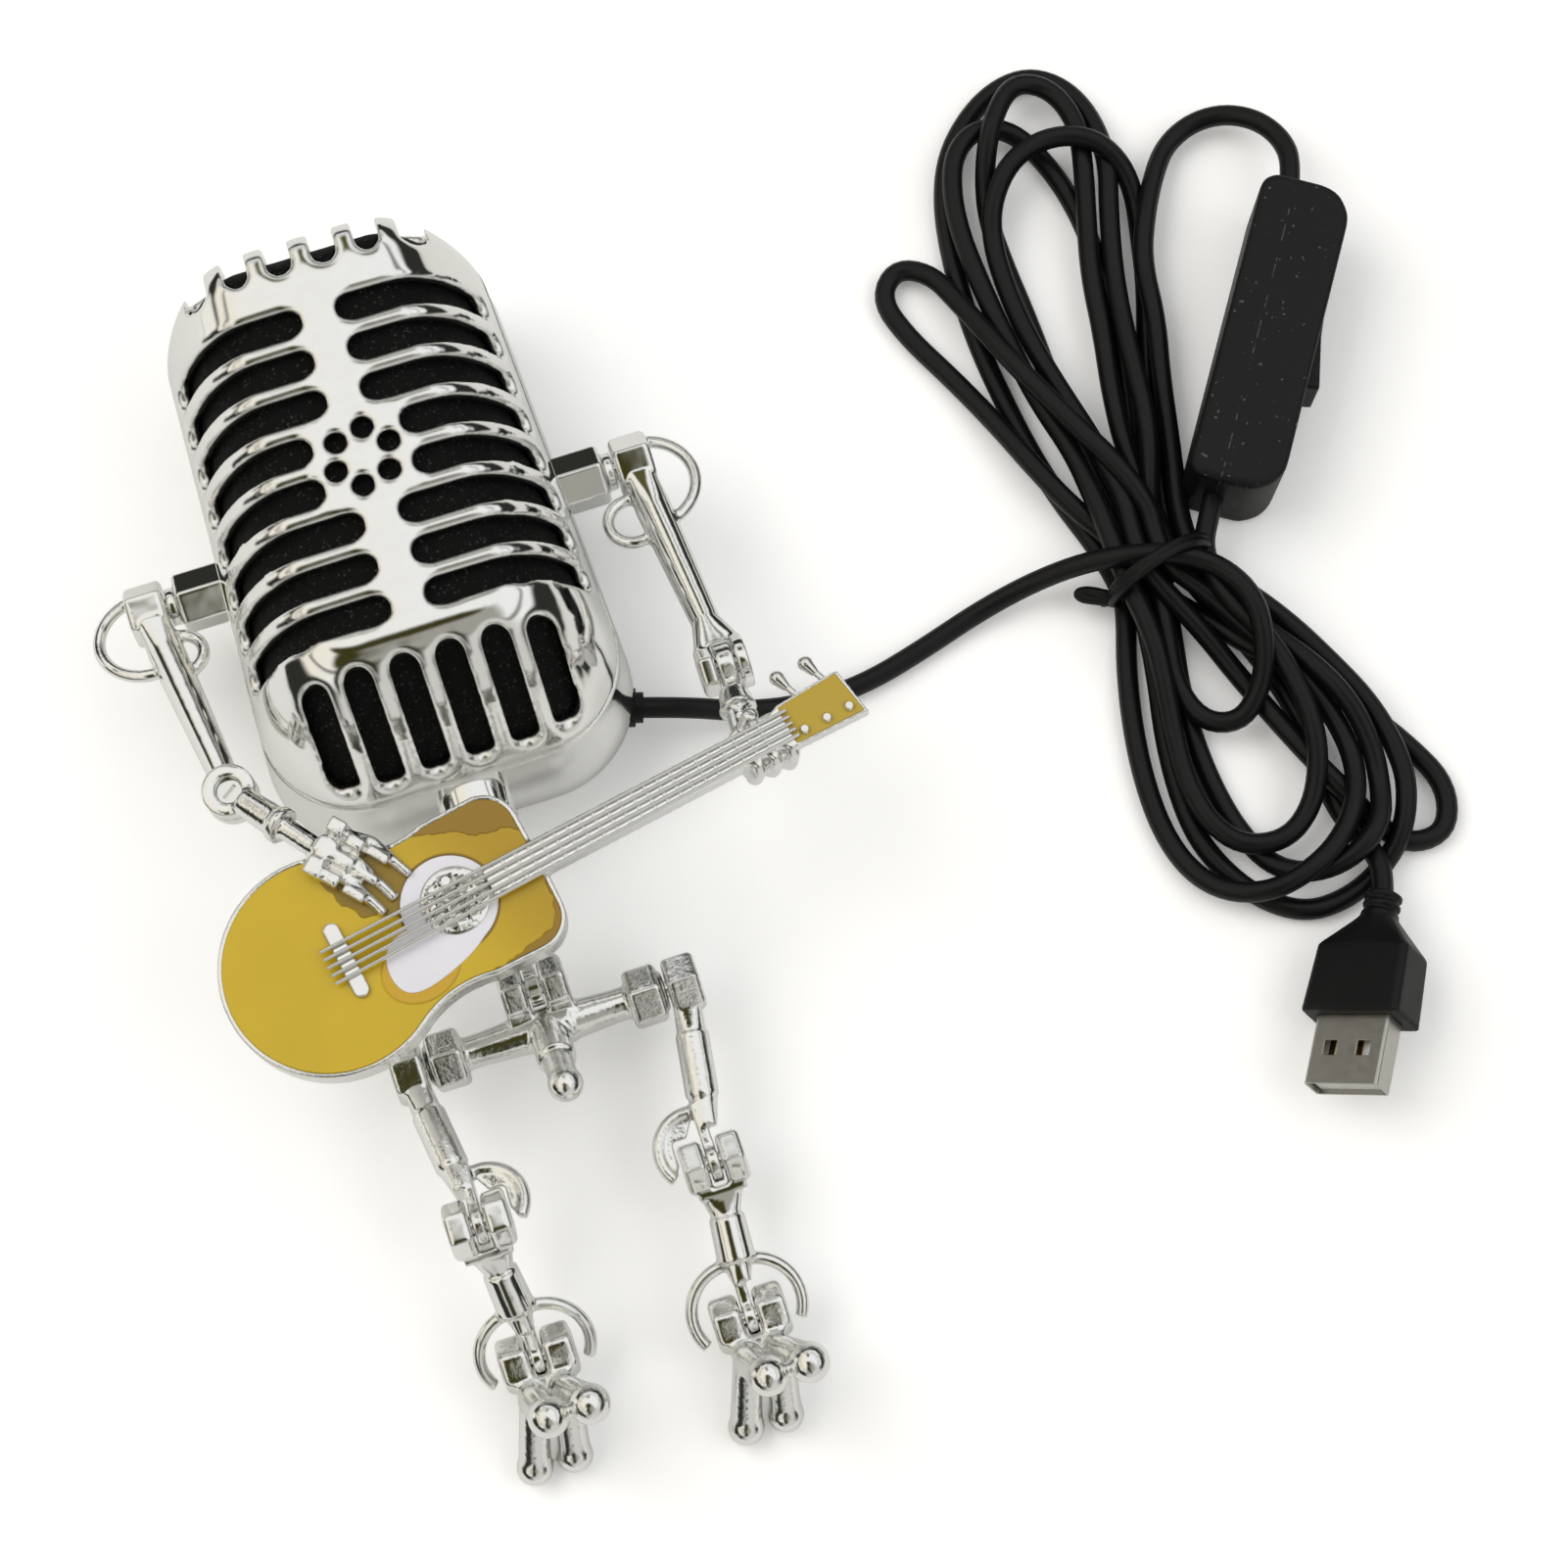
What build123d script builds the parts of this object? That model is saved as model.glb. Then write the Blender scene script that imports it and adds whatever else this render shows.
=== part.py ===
from build123d import *
from math import atan2, cos, degrees, pi, radians, sin, sqrt, tan
import os

# A jointed metal robot that is a lamp, lying on its back.
# X is to its side, Y runs from its feet to the top of its head, Z is up from the floor.
# The origin is the middle of the flat back of the head. All sizes are in millimetres.

# ---------------------------------------------------------------- driving sizes
fit_gap = 0.05           # running fit between a pin and its bore, radial
seat_gap = 0.02          # fixed pin in its bore, radial
shell_gap = 0.05         # between the head's curved skin and what is screwed to it
side_gap = 0.25          # between the side faces of two moving pieces

# head, a rounded capsule
head_half_top = 25.6
head_half_bottom = 28.8
head_top = 43.8
head_bottom = 44.0
head_depth = 46.0
head_wall = 1.8
corner_top = 12.0
corner_bottom = 16.0
widest_height = 13.0     # height above the back where the head is widest
seam_height = 24.0
seam_gap = 0.2
back_reach = 15.0        # how far the back flat lies inside the widest outline
side_reach = 17.0        # the same for the front flat, at the sides
top_reach = 8.0
bottom_reach = 22.0

# grille
row_count = 8
row_top = 27.0
row_pitch = 6.5
slot_height = 4.1
bar_half = 2.6           # half of the bar between the left and right slots
bar_half_wide = 6.6      # the same beside the ring of holes
wide_rows = (3, 4)
row_side_low = 28.5      # height above the back where a side slot ends
column_count = 6
column_pitch = 6.8
column_width = 4.2
column_start = 25.2      # where the lower slots start, below the head's middle
column_low = 26.4
crown_pitch = 6.7
crown_width = 3.7
crown_start = 34.8       # where the upper slots start, above the head's middle
crown_low = 27.5
ring_holes = 6
ring_radius = 4.4
ring_hole_radius = 1.6
cloth_gap = 0.3
cloth_thickness = 0.8

# inside the head
screw_y_top = 32.0
screw_y_bottom = -22.4
post_radius = 2.1
screw_radius = 0.9
screw_head_radius = 1.7
screw_head_depth = 1.4
board_width = 40.0
board_length = 42.0
board_thickness = 1.6
board_height = 14.0
board_middle = 4.0
chip_size = 3.0
chip_thickness = 0.9
standoff_radius = 2.2
standoff_x = 16.0
standoff_y = 17.0

# hexagonal joints and pins
pin_radius = 1.4
hex_flat_radius = 4.1    # half of the distance across the flats of a shoulder or hip hexagon
hex_chamfer = 0.5
shoulder_y = 0.6
shoulder_z = 18.0
shoulder_boss_end = 33.6
shoulder_hub_start = 35.3
shoulder_hub_length = 5.9
groove_radius = 2.9

# arms
right_elbow_x = -32.6
right_elbow_y = -34.6
right_eye_height = 33.4  # height of the face where the two eyes of the right elbow meet
eye_radius = 3.9
eye_hole_radius = 1.9
eye_thickness = 2.8
left_elbow_x = 41.2
left_elbow_y = -36.6
left_elbow_z = 26.5
arm_root = 3.2           # how far from the shoulder axis the arm's flare starts
arm_top_radius = 2.8
arm_low_radius = 2.1
hoop_radius = 0.95
guard_web = 0.9          # the knee guards are filled by a web this thick
elbow_ear = 2.6
elbow_tongue = 2.6
elbow_radius = 3.4
elbow_pin_radius = 1.2
open_pivot_gap = 0.35    # the left elbow is the pivot where the closed linkage is opened

# guitar
guitar_x = -6.4
guitar_y = -60.7
guitar_angle = 10.2
guitar_back = 33.0
guitar_thickness = 5.5
lower_end = -35.4
lower_radius = 15.9
lower_sweep = 120.0      # how far the lower bout's arc runs round from the end
upper_start = 0.5        # where the waist's arc meets the upper bout
upper_half = 12.4
upper_end = 13.2
upper_corner = 5.2
rim_width = 0.7
enamel_depth = 0.5
sound_hole_radius = 4.9
rosette_radius = 6.9
rosette_shift = 0.9
neck_end = 51.5
neck_half = 2.5
neck_rise = 0.8
neck_thickness = 4.2
fretboard_start = 5.2
headstock_end = 64.4
headstock_half = 3.4
headstock_thickness = 2.8
headstock_rim = 0.45
headstock_enamel_depth = 0.4
string_count = 5
string_radius = 0.28
string_start = -20.0
string_end = 53.9
string_lift = 0.05
bridge_u = -17.2
bridge_length = 11.6
bridge_width = 2.2
bridge_height = 0.6
peg_radius = 1.1
peg_reach = 3.2

# spine and pelvis
collar_radius = 5.6
collar_length = 2.2
collar_stub = 1.6
spine_gap = 0.2          # the rod leaves the collar at a slight angle
spine_radius = 2.1
spine_z = 18.0
waist_y = -71.6
waist_z = 16.2
waist_tongue = 1.9
waist_ear = 3.8
waist_flat_radius = 3.5
waist_eye_radius = 2.9
hip_y = -77.6
hip_z = 14.0
pelvis_bar_radius = 2.5
hip_boss_start = 12.6
hip_boss_length = 5.2
hip_hub_start = 18.6
hip_hub_length = 5.0
prong_radius = 2.2
prong_sleeve_radius = 2.9
prong_ball_radius = 2.6
prong_drop = 10.4
prong_rise = 10.0

# legs
knee_x = 17.3
ankle_x = 15.5
thigh_length = 26.6
shin_length = 23.0
thigh_radius = 2.5
shin_radius = 2.65
thigh_pitch = {"left": -2.0, "right": 16.0}
shin_pitch = {"left": -10.0, "right": -32.0}
foot_pitch = {"left": 14.0, "right": 14.0}
tongue_thickness = 1.7
tongue_eye_radius = 3.0
tongue_half = 2.1
tongue_root = 4.8        # height of the shoulder that a tongue grows from
knee_ear = 3.6
knee_flat_radius = 3.7
ankle_ear = 4.5
ankle_flat_radius = 3.7
web_start = 3.5          # where the web between two ears starts, from the joint's axis
toe_forward = 11.0
heel_back = 9.3
sole_drop = 12.6
prong_spread = 3.05
foot_lean = 0.25         # how much further to the left a foot is at its front than at its back, over its depth
toe_radius = 2.2
toe_ball_radius = 3.0
heel_ball_radius = 2.75

# cord
cord_radius = 1.65
gland_radius = 3.0
gland_length = 2.4
cord_entry = 1.0         # how far a cord's end lies inside its gland or strain relief
entry_gap = 0.1          # and its radial clearance there
gland_flange = 1.2
gland_x = 26.2
gland_y = -33.0
gland_z = 8.0
gland_angle = -18.0
hank_height = 9.6
hank_end_height = 6.7
tie_y = -34.0
tie_half_width = 1.6
tie_thickness = 1.3
tie_gap = 0.15

# switch on the cord
switch_x = 138.9
switch_y = -8.8
switch_angle = 56.5
switch_length = 52.0
switch_depth = 14.6
switch_width = 17.0
switch_corner = 3.6
switch_wall = 1.5
switch_bottom_depth = 5.0
rocker_length = 17.4
rocker_width = 8.6
rocker_rise = 1.7
rocker_below = 1.4       # how far the rocker reaches below its pivot
rocker_pivot_depth = 3.2
rocker_slot_gap = 0.35
rocker_offset = 2.0
rocker_pin_radius = 0.8

# USB plug
plug_x = 118.0
plug_y = -108.8
plug_axis_angle = 237.2  # direction of the mouth, seen from above
plug_roll = 38.0
plug_pitch = 9.0
shell_width = 12.0
shell_height = 4.5
shell_out = 11.0
shell_in = 5.0
shell_wall = 0.3
plug_body_width = 16.0
plug_body_height = 8.6
plug_body_length = 11.0
plug_taper = 1.0         # how much narrower the body is at its cord end
plug_shoulder_length = 5.6
strain_radius = 2.9
strain_length = 4.0
strain_grooves = 2
strain_groove_width = 0.7
strain_groove_pitch = 1.5
tongue_height = 1.9


# ---------------------------------------------------------------- helpers
def side_sign(side):
    """The robot's right side is at negative X."""
    return -1.0 if side == "right" else 1.0


def point_from(start, pitch, length, end_x):
    """End of a link that leaves start towards the feet, raised by pitch degrees."""
    run = sqrt(length**2 - (end_x - start.X) ** 2)
    return Vector(end_x, start.Y - run * cos(radians(pitch)), start.Z + run * sin(radians(pitch)))


def along(start, end, distance):
    return start + (end - start).normalized() * distance


def cross_plane(centre, axis):
    """Plane across a link, with its X direction kept as near to the object's X as it can be."""
    normal = axis.normalized()
    across = Vector(1, 0, 0)
    level = across - normal * across.dot(normal)
    return Plane(origin=centre, x_dir=level, z_dir=normal)


def side_plane(x, y, z, pitch=0.0):
    """Plane whose normal is +X. Its local X leaves towards the feet, raised by pitch degrees."""
    toward_feet = Vector(0, -cos(radians(pitch)), sin(radians(pitch)))
    return Plane(origin=(x, y, z), x_dir=toward_feet, z_dir=(1, 0, 0))


def down_plane(y, z):
    """Plane whose normal points to the feet. Its local X is the object's X."""
    return Plane(origin=(0, y, z), x_dir=(1, 0, 0), z_dir=(0, -1, 0))


# The functions from here to the head add their form to the part in hand.
def tapered_rod(start, end, start_radius, end_radius):
    """Round bar between two points."""
    axis = end - start
    with BuildSketch(cross_plane(start, axis)) as near:
        Circle(start_radius)
    with BuildSketch(cross_plane(end, axis)) as far:
        Circle(end_radius)
    loft([near.sketch, far.sketch])


def flare(start, end, near, far, width, height, radius):
    """Loft from a rounded rectangle near the joint to a round bar."""
    axis = end - start
    with BuildSketch(cross_plane(along(start, end, near), axis)) as root:
        RectangleRounded(width, height, min(width, height) * 0.3)
    with BuildSketch(cross_plane(along(start, end, far), axis)) as tip:
        Circle(radius)
    loft([root.sketch, tip.sketch])


def hoop(points):
    """Round wire guard through three points."""
    with BuildLine() as path:
        ThreePointArc(*points)
    with BuildSketch(Plane(origin=path.line @ 0, z_dir=path.line % 0)) as section:
        Circle(hoop_radius)
    sweep(section.sketch, path=path.line)


def filled_guard(points):
    """The same guard with a thin web inside it."""
    hoop(points)
    start, middle, end = points
    plane = Plane(origin=start, x_dir=end - start, z_dir=(middle - start).cross(end - start))
    local = [plane.to_local_coords(point) for point in points]
    with BuildSketch(plane) as web:
        with BuildLine():
            ThreePointArc(*local)
            Line(local[2], local[0])
        make_face()
    extrude(web.sketch, amount=guard_web / 2, both=True)


def hexagon(centre, low, high, flat_radius, pitch=0.0):
    """Hexagonal block with chamfered rims about a cross axis, from x = low to x = high."""
    with BuildPart() as block:
        with BuildSketch(side_plane(low, centre.Y, centre.Z, pitch)):
            RegularPolygon(flat_radius, 6, major_radius=False, rotation=30)
        extrude(amount=high - low)
        ends = block.faces().sort_by(Axis.X)
        chamfer(ends[0].edges() + ends[-1].edges(), hex_chamfer)
    add(block.part)


def cross_bore(centre, low, high, radius):
    """Round hole along X."""
    with BuildSketch(side_plane(low, centre.Y, centre.Z)) as hole:
        Circle(radius)
    extrude(hole.sketch, amount=high - low, mode=Mode.SUBTRACT)


def cross_pin(centre, low, high, radius):
    """Round pin or disc along X."""
    with BuildSketch(side_plane(low, centre.Y, centre.Z)) as section:
        Circle(radius)
    extrude(section.sketch, amount=high - low)


def save(part, name):
    part.label = name
    export_step(part, f"parts/{name}.step")


# ---------------------------------------------------------------- head block
def head_inset(height, skin):
    """How far the outline lies inside the widest one at this height, at sides, top and bottom."""
    if height >= widest_height:
        t = (height - widest_height) / (head_depth - skin - widest_height)
        side = side_reach * (1 - sqrt(1 - t**2))
        top = top_reach * (1 - (1 - t**3) ** (1 / 3))
        bottom = bottom_reach * (1 - (1 - t**1.4) ** (1 / 1.4))
    else:
        t = (widest_height - height) / (widest_height - skin + 0.4)
        side = top = bottom = back_reach * (1 - sqrt(1 - t**2))
    return side + skin, top + skin, bottom + skin


def head_outline(height, skin):
    """Rounded outline of the head at this height."""
    side, top, bottom = head_inset(height, skin)
    with BuildSketch(Plane.XY.offset(height)) as outline:
        with BuildLine():
            Polyline(
                (side - head_half_bottom, bottom - head_bottom),
                (head_half_bottom - side, bottom - head_bottom),
                (head_half_top - side, head_top - top),
                (side - head_half_top, head_top - top),
                close=True,
            )
        make_face()
        fillet(outline.vertices().group_by(Axis.Y)[0], max(corner_bottom - 0.3 * (side + bottom), 2.0))
        fillet(outline.vertices().group_by(Axis.Y)[-1], max(corner_top - 0.45 * (side + top), 2.0))
    return outline.sketch


def head_block(heights, skin):
    """Solid with the head's form between the first and the last height, its surface skin deep."""
    with BuildPart() as block:
        loft([head_outline(height, skin) for height in heights])
    return block.part


def front_heights(low, skin):
    """Heights that follow the front's curve, closer together where it turns."""
    span = head_depth - skin - widest_height
    first = (low - widest_height) / span
    turns = [t for t in (0.58, 0.78, 0.91, 0.985) if t > first + 0.05]
    return [low] + [widest_height + span * t for t in turns]


def back_heights(high, skin):
    span = widest_height - skin + 0.4
    return [widest_height - span * t for t in (0.97, 0.85, 0.6, 0.3)] + [widest_height, high]


def row_cutter(half_bar, y):
    """A slot that starts beside the middle bar and wraps round the right side of the head."""
    reach = head_half_bottom + 5
    with BuildPart() as cutter:
        with BuildSketch(Plane.XY.offset(row_side_low)):
            with Locations((half_bar + slot_height / 2, y)):
                Circle(slot_height / 2)
            with Locations(((half_bar + slot_height / 2 + reach) / 2, y)):
                Rectangle(reach - half_bar - slot_height / 2, slot_height)
        extrude(amount=head_depth)
        with BuildSketch(Plane.YZ):
            with Locations((y, row_side_low + slot_height / 2)):
                Circle(slot_height / 2)
            with Locations((y, row_side_low + slot_height / 2 + head_depth / 2)):
                Rectangle(slot_height, head_depth)
        extrude(amount=reach, mode=Mode.INTERSECT)
    return cutter.part


def end_cutter(start, low, width):
    """A slot that starts under the rows and runs down round the lower edge of the head."""
    reach = head_bottom + 5
    round_end = start + width / 2
    with BuildPart() as cutter:
        with BuildSketch(Plane.XY.offset(low)):
            with Locations((0, -round_end)):
                Circle(width / 2)
            with Locations((0, -(round_end + reach) / 2)):
                Rectangle(width, reach - round_end)
        extrude(amount=head_depth)
        with BuildSketch(Plane.XZ):
            with Locations((0, low + width / 2)):
                Circle(width / 2)
            with Locations((0, low + width / 2 + head_depth / 2)):
                Rectangle(width, head_depth)
        extrude(amount=reach, mode=Mode.INTERSECT)
    return cutter.part


def make_front_shell():
    low = seam_height + seam_gap / 2
    outer = head_block(front_heights(low, 0), 0)
    hollow = head_block(front_heights(low, head_wall), head_wall)
    near = [row_cutter(bar_half, 0), row_cutter(bar_half_wide, 0)]
    far = [cutter.mirror(Plane.YZ) for cutter in near]
    column = end_cutter(column_start, column_low, column_width)
    crown = end_cutter(crown_start, crown_low, crown_width).mirror(Plane.XZ)
    inner_face = head_depth - head_wall
    with BuildPart() as shell:
        add(outer)
        add(hollow, mode=Mode.SUBTRACT)
        for y in (screw_y_top, screw_y_bottom):
            with BuildSketch(Plane.XY.offset(low)):
                with Locations((0, y)):
                    Circle(post_radius)
                    Circle(screw_radius - 0.1, mode=Mode.SUBTRACT)
            extrude(amount=inner_face - low)
        for row in range(row_count):
            wide = 1 if row in wide_rows else 0
            with Locations((0, row_top - row * row_pitch, 0)):
                add(near[wide], mode=Mode.SUBTRACT)
                add(far[wide], mode=Mode.SUBTRACT)
        with Locations([(x * column_pitch, 0, 0) for x in centred(column_count)]):
            add(column, mode=Mode.SUBTRACT)
        with Locations([(x * crown_pitch, 0, 0) for x in centred(column_count)]):
            add(crown, mode=Mode.SUBTRACT)
        with BuildSketch(Plane.XY.offset(head_depth + 1)):
            with Locations((0, ring_middle())):
                with PolarLocations(ring_radius, ring_holes, start_angle=15):
                    Circle(ring_hole_radius)
        extrude(amount=-head_wall - 3, mode=Mode.SUBTRACT)
    return shell.part


def centred(count):
    """Whole steps about the middle: -2.5, -1.5 ... 2.5 for six."""
    return [index - (count - 1) / 2 for index in range(count)]


def ring_middle():
    return row_top - (wide_rows[0] + 0.5) * row_pitch


def make_rear_shell():
    high = seam_height - seam_gap / 2
    outer = head_block(back_heights(high, 0), 0)
    hollow = head_block(back_heights(high, head_wall), head_wall)
    with BuildPart() as shell:
        add(outer)
        add(hollow, mode=Mode.SUBTRACT)
        with BuildSketch(Plane.XY.offset(head_wall / 2)):
            with Locations((0, screw_y_top), (0, screw_y_bottom)):
                Circle(post_radius)
        extrude(amount=high - head_wall / 2)
        with BuildSketch(Plane.XY.offset(head_wall / 2)):
            with GridLocations(2 * standoff_x, 2 * standoff_y, 2, 2):
                with Locations((0, board_middle)):
                    Circle(standoff_radius)
        extrude(amount=board_height - head_wall / 2)
        with BuildSketch(Plane.XY):
            with Locations((0, screw_y_top), (0, screw_y_bottom)):
                Circle(screw_radius + seat_gap)
        extrude(amount=high, mode=Mode.SUBTRACT)
        with BuildSketch(Plane.XY):
            with Locations((0, screw_y_top), (0, screw_y_bottom)):
                Circle(screw_head_radius + seat_gap)
        extrude(amount=screw_head_depth + 0.6, mode=Mode.SUBTRACT)
        with BuildSketch(Plane.XY.offset(board_height - 6)):
            with GridLocations(2 * standoff_x, 2 * standoff_y, 2, 2):
                with Locations((0, board_middle)):
                    Circle(screw_radius - 0.1)
        extrude(amount=6, mode=Mode.SUBTRACT)
        with BuildSketch(gland_plane(-6)):
            Circle(gland_radius - 0.6)
        extrude(amount=12, mode=Mode.SUBTRACT)
        cross_bore(shoulder_point(1), -head_half_bottom, head_half_bottom, pin_radius + seat_gap)
    return shell.part


def make_grille_cloth():
    low = seam_height + seam_gap / 2
    skin = head_wall + cloth_gap
    outer = head_block(front_heights(low, skin), skin)
    hollow = head_block(front_heights(low, skin + cloth_thickness), skin + cloth_thickness)
    with BuildPart() as cloth:
        add(outer)
        add(hollow, mode=Mode.SUBTRACT)
        with BuildSketch(Plane.XY.offset(low)):
            with Locations((0, screw_y_top), (0, screw_y_bottom)):
                Circle(post_radius + cloth_gap)
        extrude(amount=head_depth, mode=Mode.SUBTRACT)
    return cloth.part


def make_led_board():
    with BuildPart() as board:
        with BuildSketch(Plane.XY.offset(board_height)):
            with Locations((0, board_middle)):
                RectangleRounded(board_width, board_length, 3)
                with GridLocations(2 * standoff_x, 2 * standoff_y, 2, 2):
                    Circle(screw_radius + 0.1, mode=Mode.SUBTRACT)
        extrude(amount=board_thickness)
    return board.part


def make_led_chips():
    with BuildPart() as chips:
        with BuildSketch(Plane.XY.offset(board_height + board_thickness)):
            with Locations((0, board_middle)):
                with GridLocations(9.0, 9.0, 3, 4):
                    Rectangle(chip_size, chip_size)
        extrude(amount=chip_thickness)
    return chips.part


def make_board_screws():
    with BuildPart() as screws:
        with BuildSketch(Plane.XY.offset(board_height - 5.5)):
            with Locations((0, board_middle)):
                with GridLocations(2 * standoff_x, 2 * standoff_y, 2, 2):
                    Circle(screw_radius - 0.1 - seat_gap)
        extrude(amount=5.5 + board_thickness)
        with BuildSketch(Plane.XY.offset(board_height + board_thickness)):
            with Locations((0, board_middle)):
                with GridLocations(2 * standoff_x, 2 * standoff_y, 2, 2):
                    Circle(screw_head_radius)
        extrude(amount=screw_head_depth)
    return screws.part


def make_shell_screws():
    with BuildPart() as screws:
        with BuildSketch(Plane.XY.offset(0.6)):
            with Locations((0, screw_y_top), (0, screw_y_bottom)):
                Circle(screw_head_radius)
        extrude(amount=screw_head_depth)
        with BuildSketch(Plane.XY.offset(0.6 + screw_head_depth)):
            with Locations((0, screw_y_top), (0, screw_y_bottom)):
                Circle(screw_radius - 0.1 - seat_gap)
        extrude(amount=seam_height + 8 - screw_head_depth)
    return screws.part


def gland_plane(offset):
    """Plane across the cord where it leaves the head, offset along its way out."""
    out = Vector(cos(radians(gland_angle)), sin(radians(gland_angle)), 0)
    centre = Vector(gland_x, gland_y, gland_z) + out * offset
    return Plane(origin=centre, x_dir=(0, 0, 1), z_dir=out)


def make_cord_gland(head_seat):
    with BuildPart() as gland:
        with BuildSketch(gland_plane(-2.2)):
            Circle(gland_radius - 0.6 - seat_gap)
        extrude(amount=2.2 + gland_length)
        with BuildSketch(gland_plane(-1.5)):
            Circle(gland_radius)
        flange = extrude(amount=1.5 + gland_flange, mode=Mode.PRIVATE)
        add(flange - head_seat)
        with BuildSketch(gland_plane(-4)):
            Circle(cord_radius + entry_gap)
        extrude(amount=5 + gland_length, mode=Mode.SUBTRACT)
    return gland.part


# ---------------------------------------------------------------- shoulders and arms
def shoulder_point(sign):
    return Vector(sign * (shoulder_hub_start + shoulder_hub_length / 2), shoulder_y, shoulder_z)


def span(sign, near, far):
    """Low and high X of a stretch given by its distances from the middle."""
    return (near, far) if sign > 0 else (-far, -near)


def make_shoulder_boss(side, head_seat):
    sign = side_sign(side)
    centre = shoulder_point(sign)
    with BuildPart() as boss:
        hexagon(centre, *span(sign, head_half_top - 2, shoulder_boss_end), hex_flat_radius)
        cross_pin(centre, *span(sign, shoulder_boss_end, shoulder_hub_start - side_gap), groove_radius)
        add(head_seat, mode=Mode.SUBTRACT)
        cross_bore(centre, *span(sign, 0, shoulder_hub_start), pin_radius + seat_gap)
    return boss.part


def make_shoulder_pins():
    with BuildPart() as pins:
        for sign in (-1, 1):
            centre = shoulder_point(sign)
            cross_pin(centre, *span(sign, head_half_top - 4.2, head_half_top - 2.2), pin_radius + 1)
            end = shoulder_hub_start + shoulder_hub_length - 1.0
            cross_pin(centre, *span(sign, head_half_top - 2.2, end), pin_radius)
    return pins.part


def shoulder_hub(centre, sign, pitch):
    """The hexagonal end of an upper arm, with the flare that leads into its bar."""
    low, high = span(sign, shoulder_hub_start, shoulder_hub_start + shoulder_hub_length)
    hexagon(centre, low, high, hex_flat_radius, pitch)


def shoulder_guards(centre, sign, pitch):
    """Two wire guards in the plane of the arm, one outside the hexagon and one inside it."""
    down = Vector(0, -cos(radians(pitch)), sin(radians(pitch)))
    across = Vector(sign, 0, 0)
    outer_end = shoulder_hub_length / 2
    hoop([
        centre + across * (outer_end - 0.6) - down * 3.4,
        centre + across * (outer_end + 5.2) + down * 2.2,
        centre + across * 1.2 + down * 11.6,
    ])
    hoop([
        centre - across * 1.6 + down * 6.0,
        centre - across * (outer_end + 3.65) + down * 9.0,
        centre - across * 1.2 + down * 13.0,
    ])


def bore_shoulder_hub(centre, sign):
    end = shoulder_hub_start + shoulder_hub_length - 1.0 + side_gap
    cross_bore(centre, *span(sign, 0, end), pin_radius + fit_gap)


def right_arm_pitch():
    rise = right_eye_height - eye_thickness / 2 - shoulder_z
    return degrees(atan2(rise, shoulder_y - right_elbow_y))


def left_arm_pitch():
    return degrees(atan2(left_elbow_z - shoulder_z, shoulder_y - left_elbow_y))


def make_right_upper_arm():
    sign = side_sign("right")
    centre = shoulder_point(sign)
    elbow = Vector(right_elbow_x, right_elbow_y, right_eye_height - eye_thickness / 2 - seat_gap)
    length = (elbow - centre).length
    with BuildPart() as arm:
        shoulder_hub(centre, sign, right_arm_pitch())
        flare(centre, elbow, arm_root, 8.5, 5.0, 6.0, arm_top_radius)
        end = along(centre, elbow, length - 3.0)
        tapered_rod(along(centre, elbow, 8.5), end, arm_top_radius, arm_low_radius)
        with BuildSketch(Plane.XY.offset(right_eye_height - eye_thickness - seat_gap)):
            with Locations((right_elbow_x, right_elbow_y)):
                Circle(eye_radius)
        extrude(amount=eye_thickness)
        shoulder_guards(centre, sign, right_arm_pitch())
        bore_shoulder_hub(centre, sign)
        with BuildSketch(Plane.XY.offset(right_eye_height - eye_thickness - 1)):
            with Locations((right_elbow_x, right_elbow_y)):
                Circle(screw_radius)
        extrude(amount=eye_thickness + 2, mode=Mode.SUBTRACT)
    return arm.part


def make_right_elbow_screw():
    with BuildPart() as screw:
        with BuildSketch(Plane.XY.offset(right_eye_height - eye_thickness + 0.3)):
            with Locations((right_elbow_x, right_elbow_y)):
                Circle(screw_radius - seat_gap)
        extrude(amount=eye_thickness)
        with BuildSketch(Plane.XY.offset(right_eye_height + 0.6)):
            with Locations((right_elbow_x, right_elbow_y)):
                Circle(eye_hole_radius - 0.1)
                Rectangle(2.4, 0.5, rotation=35, mode=Mode.SUBTRACT)
        extrude(amount=screw_head_depth - 0.5)
        with BuildSketch(Plane.XY.offset(right_eye_height + 0.3)):
            with Locations((right_elbow_x, right_elbow_y)):
                Circle(eye_hole_radius - 0.1)
        extrude(amount=0.4)
    return screw.part


def left_elbow_point():
    return Vector(left_elbow_x, left_elbow_y, left_elbow_z)


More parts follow.
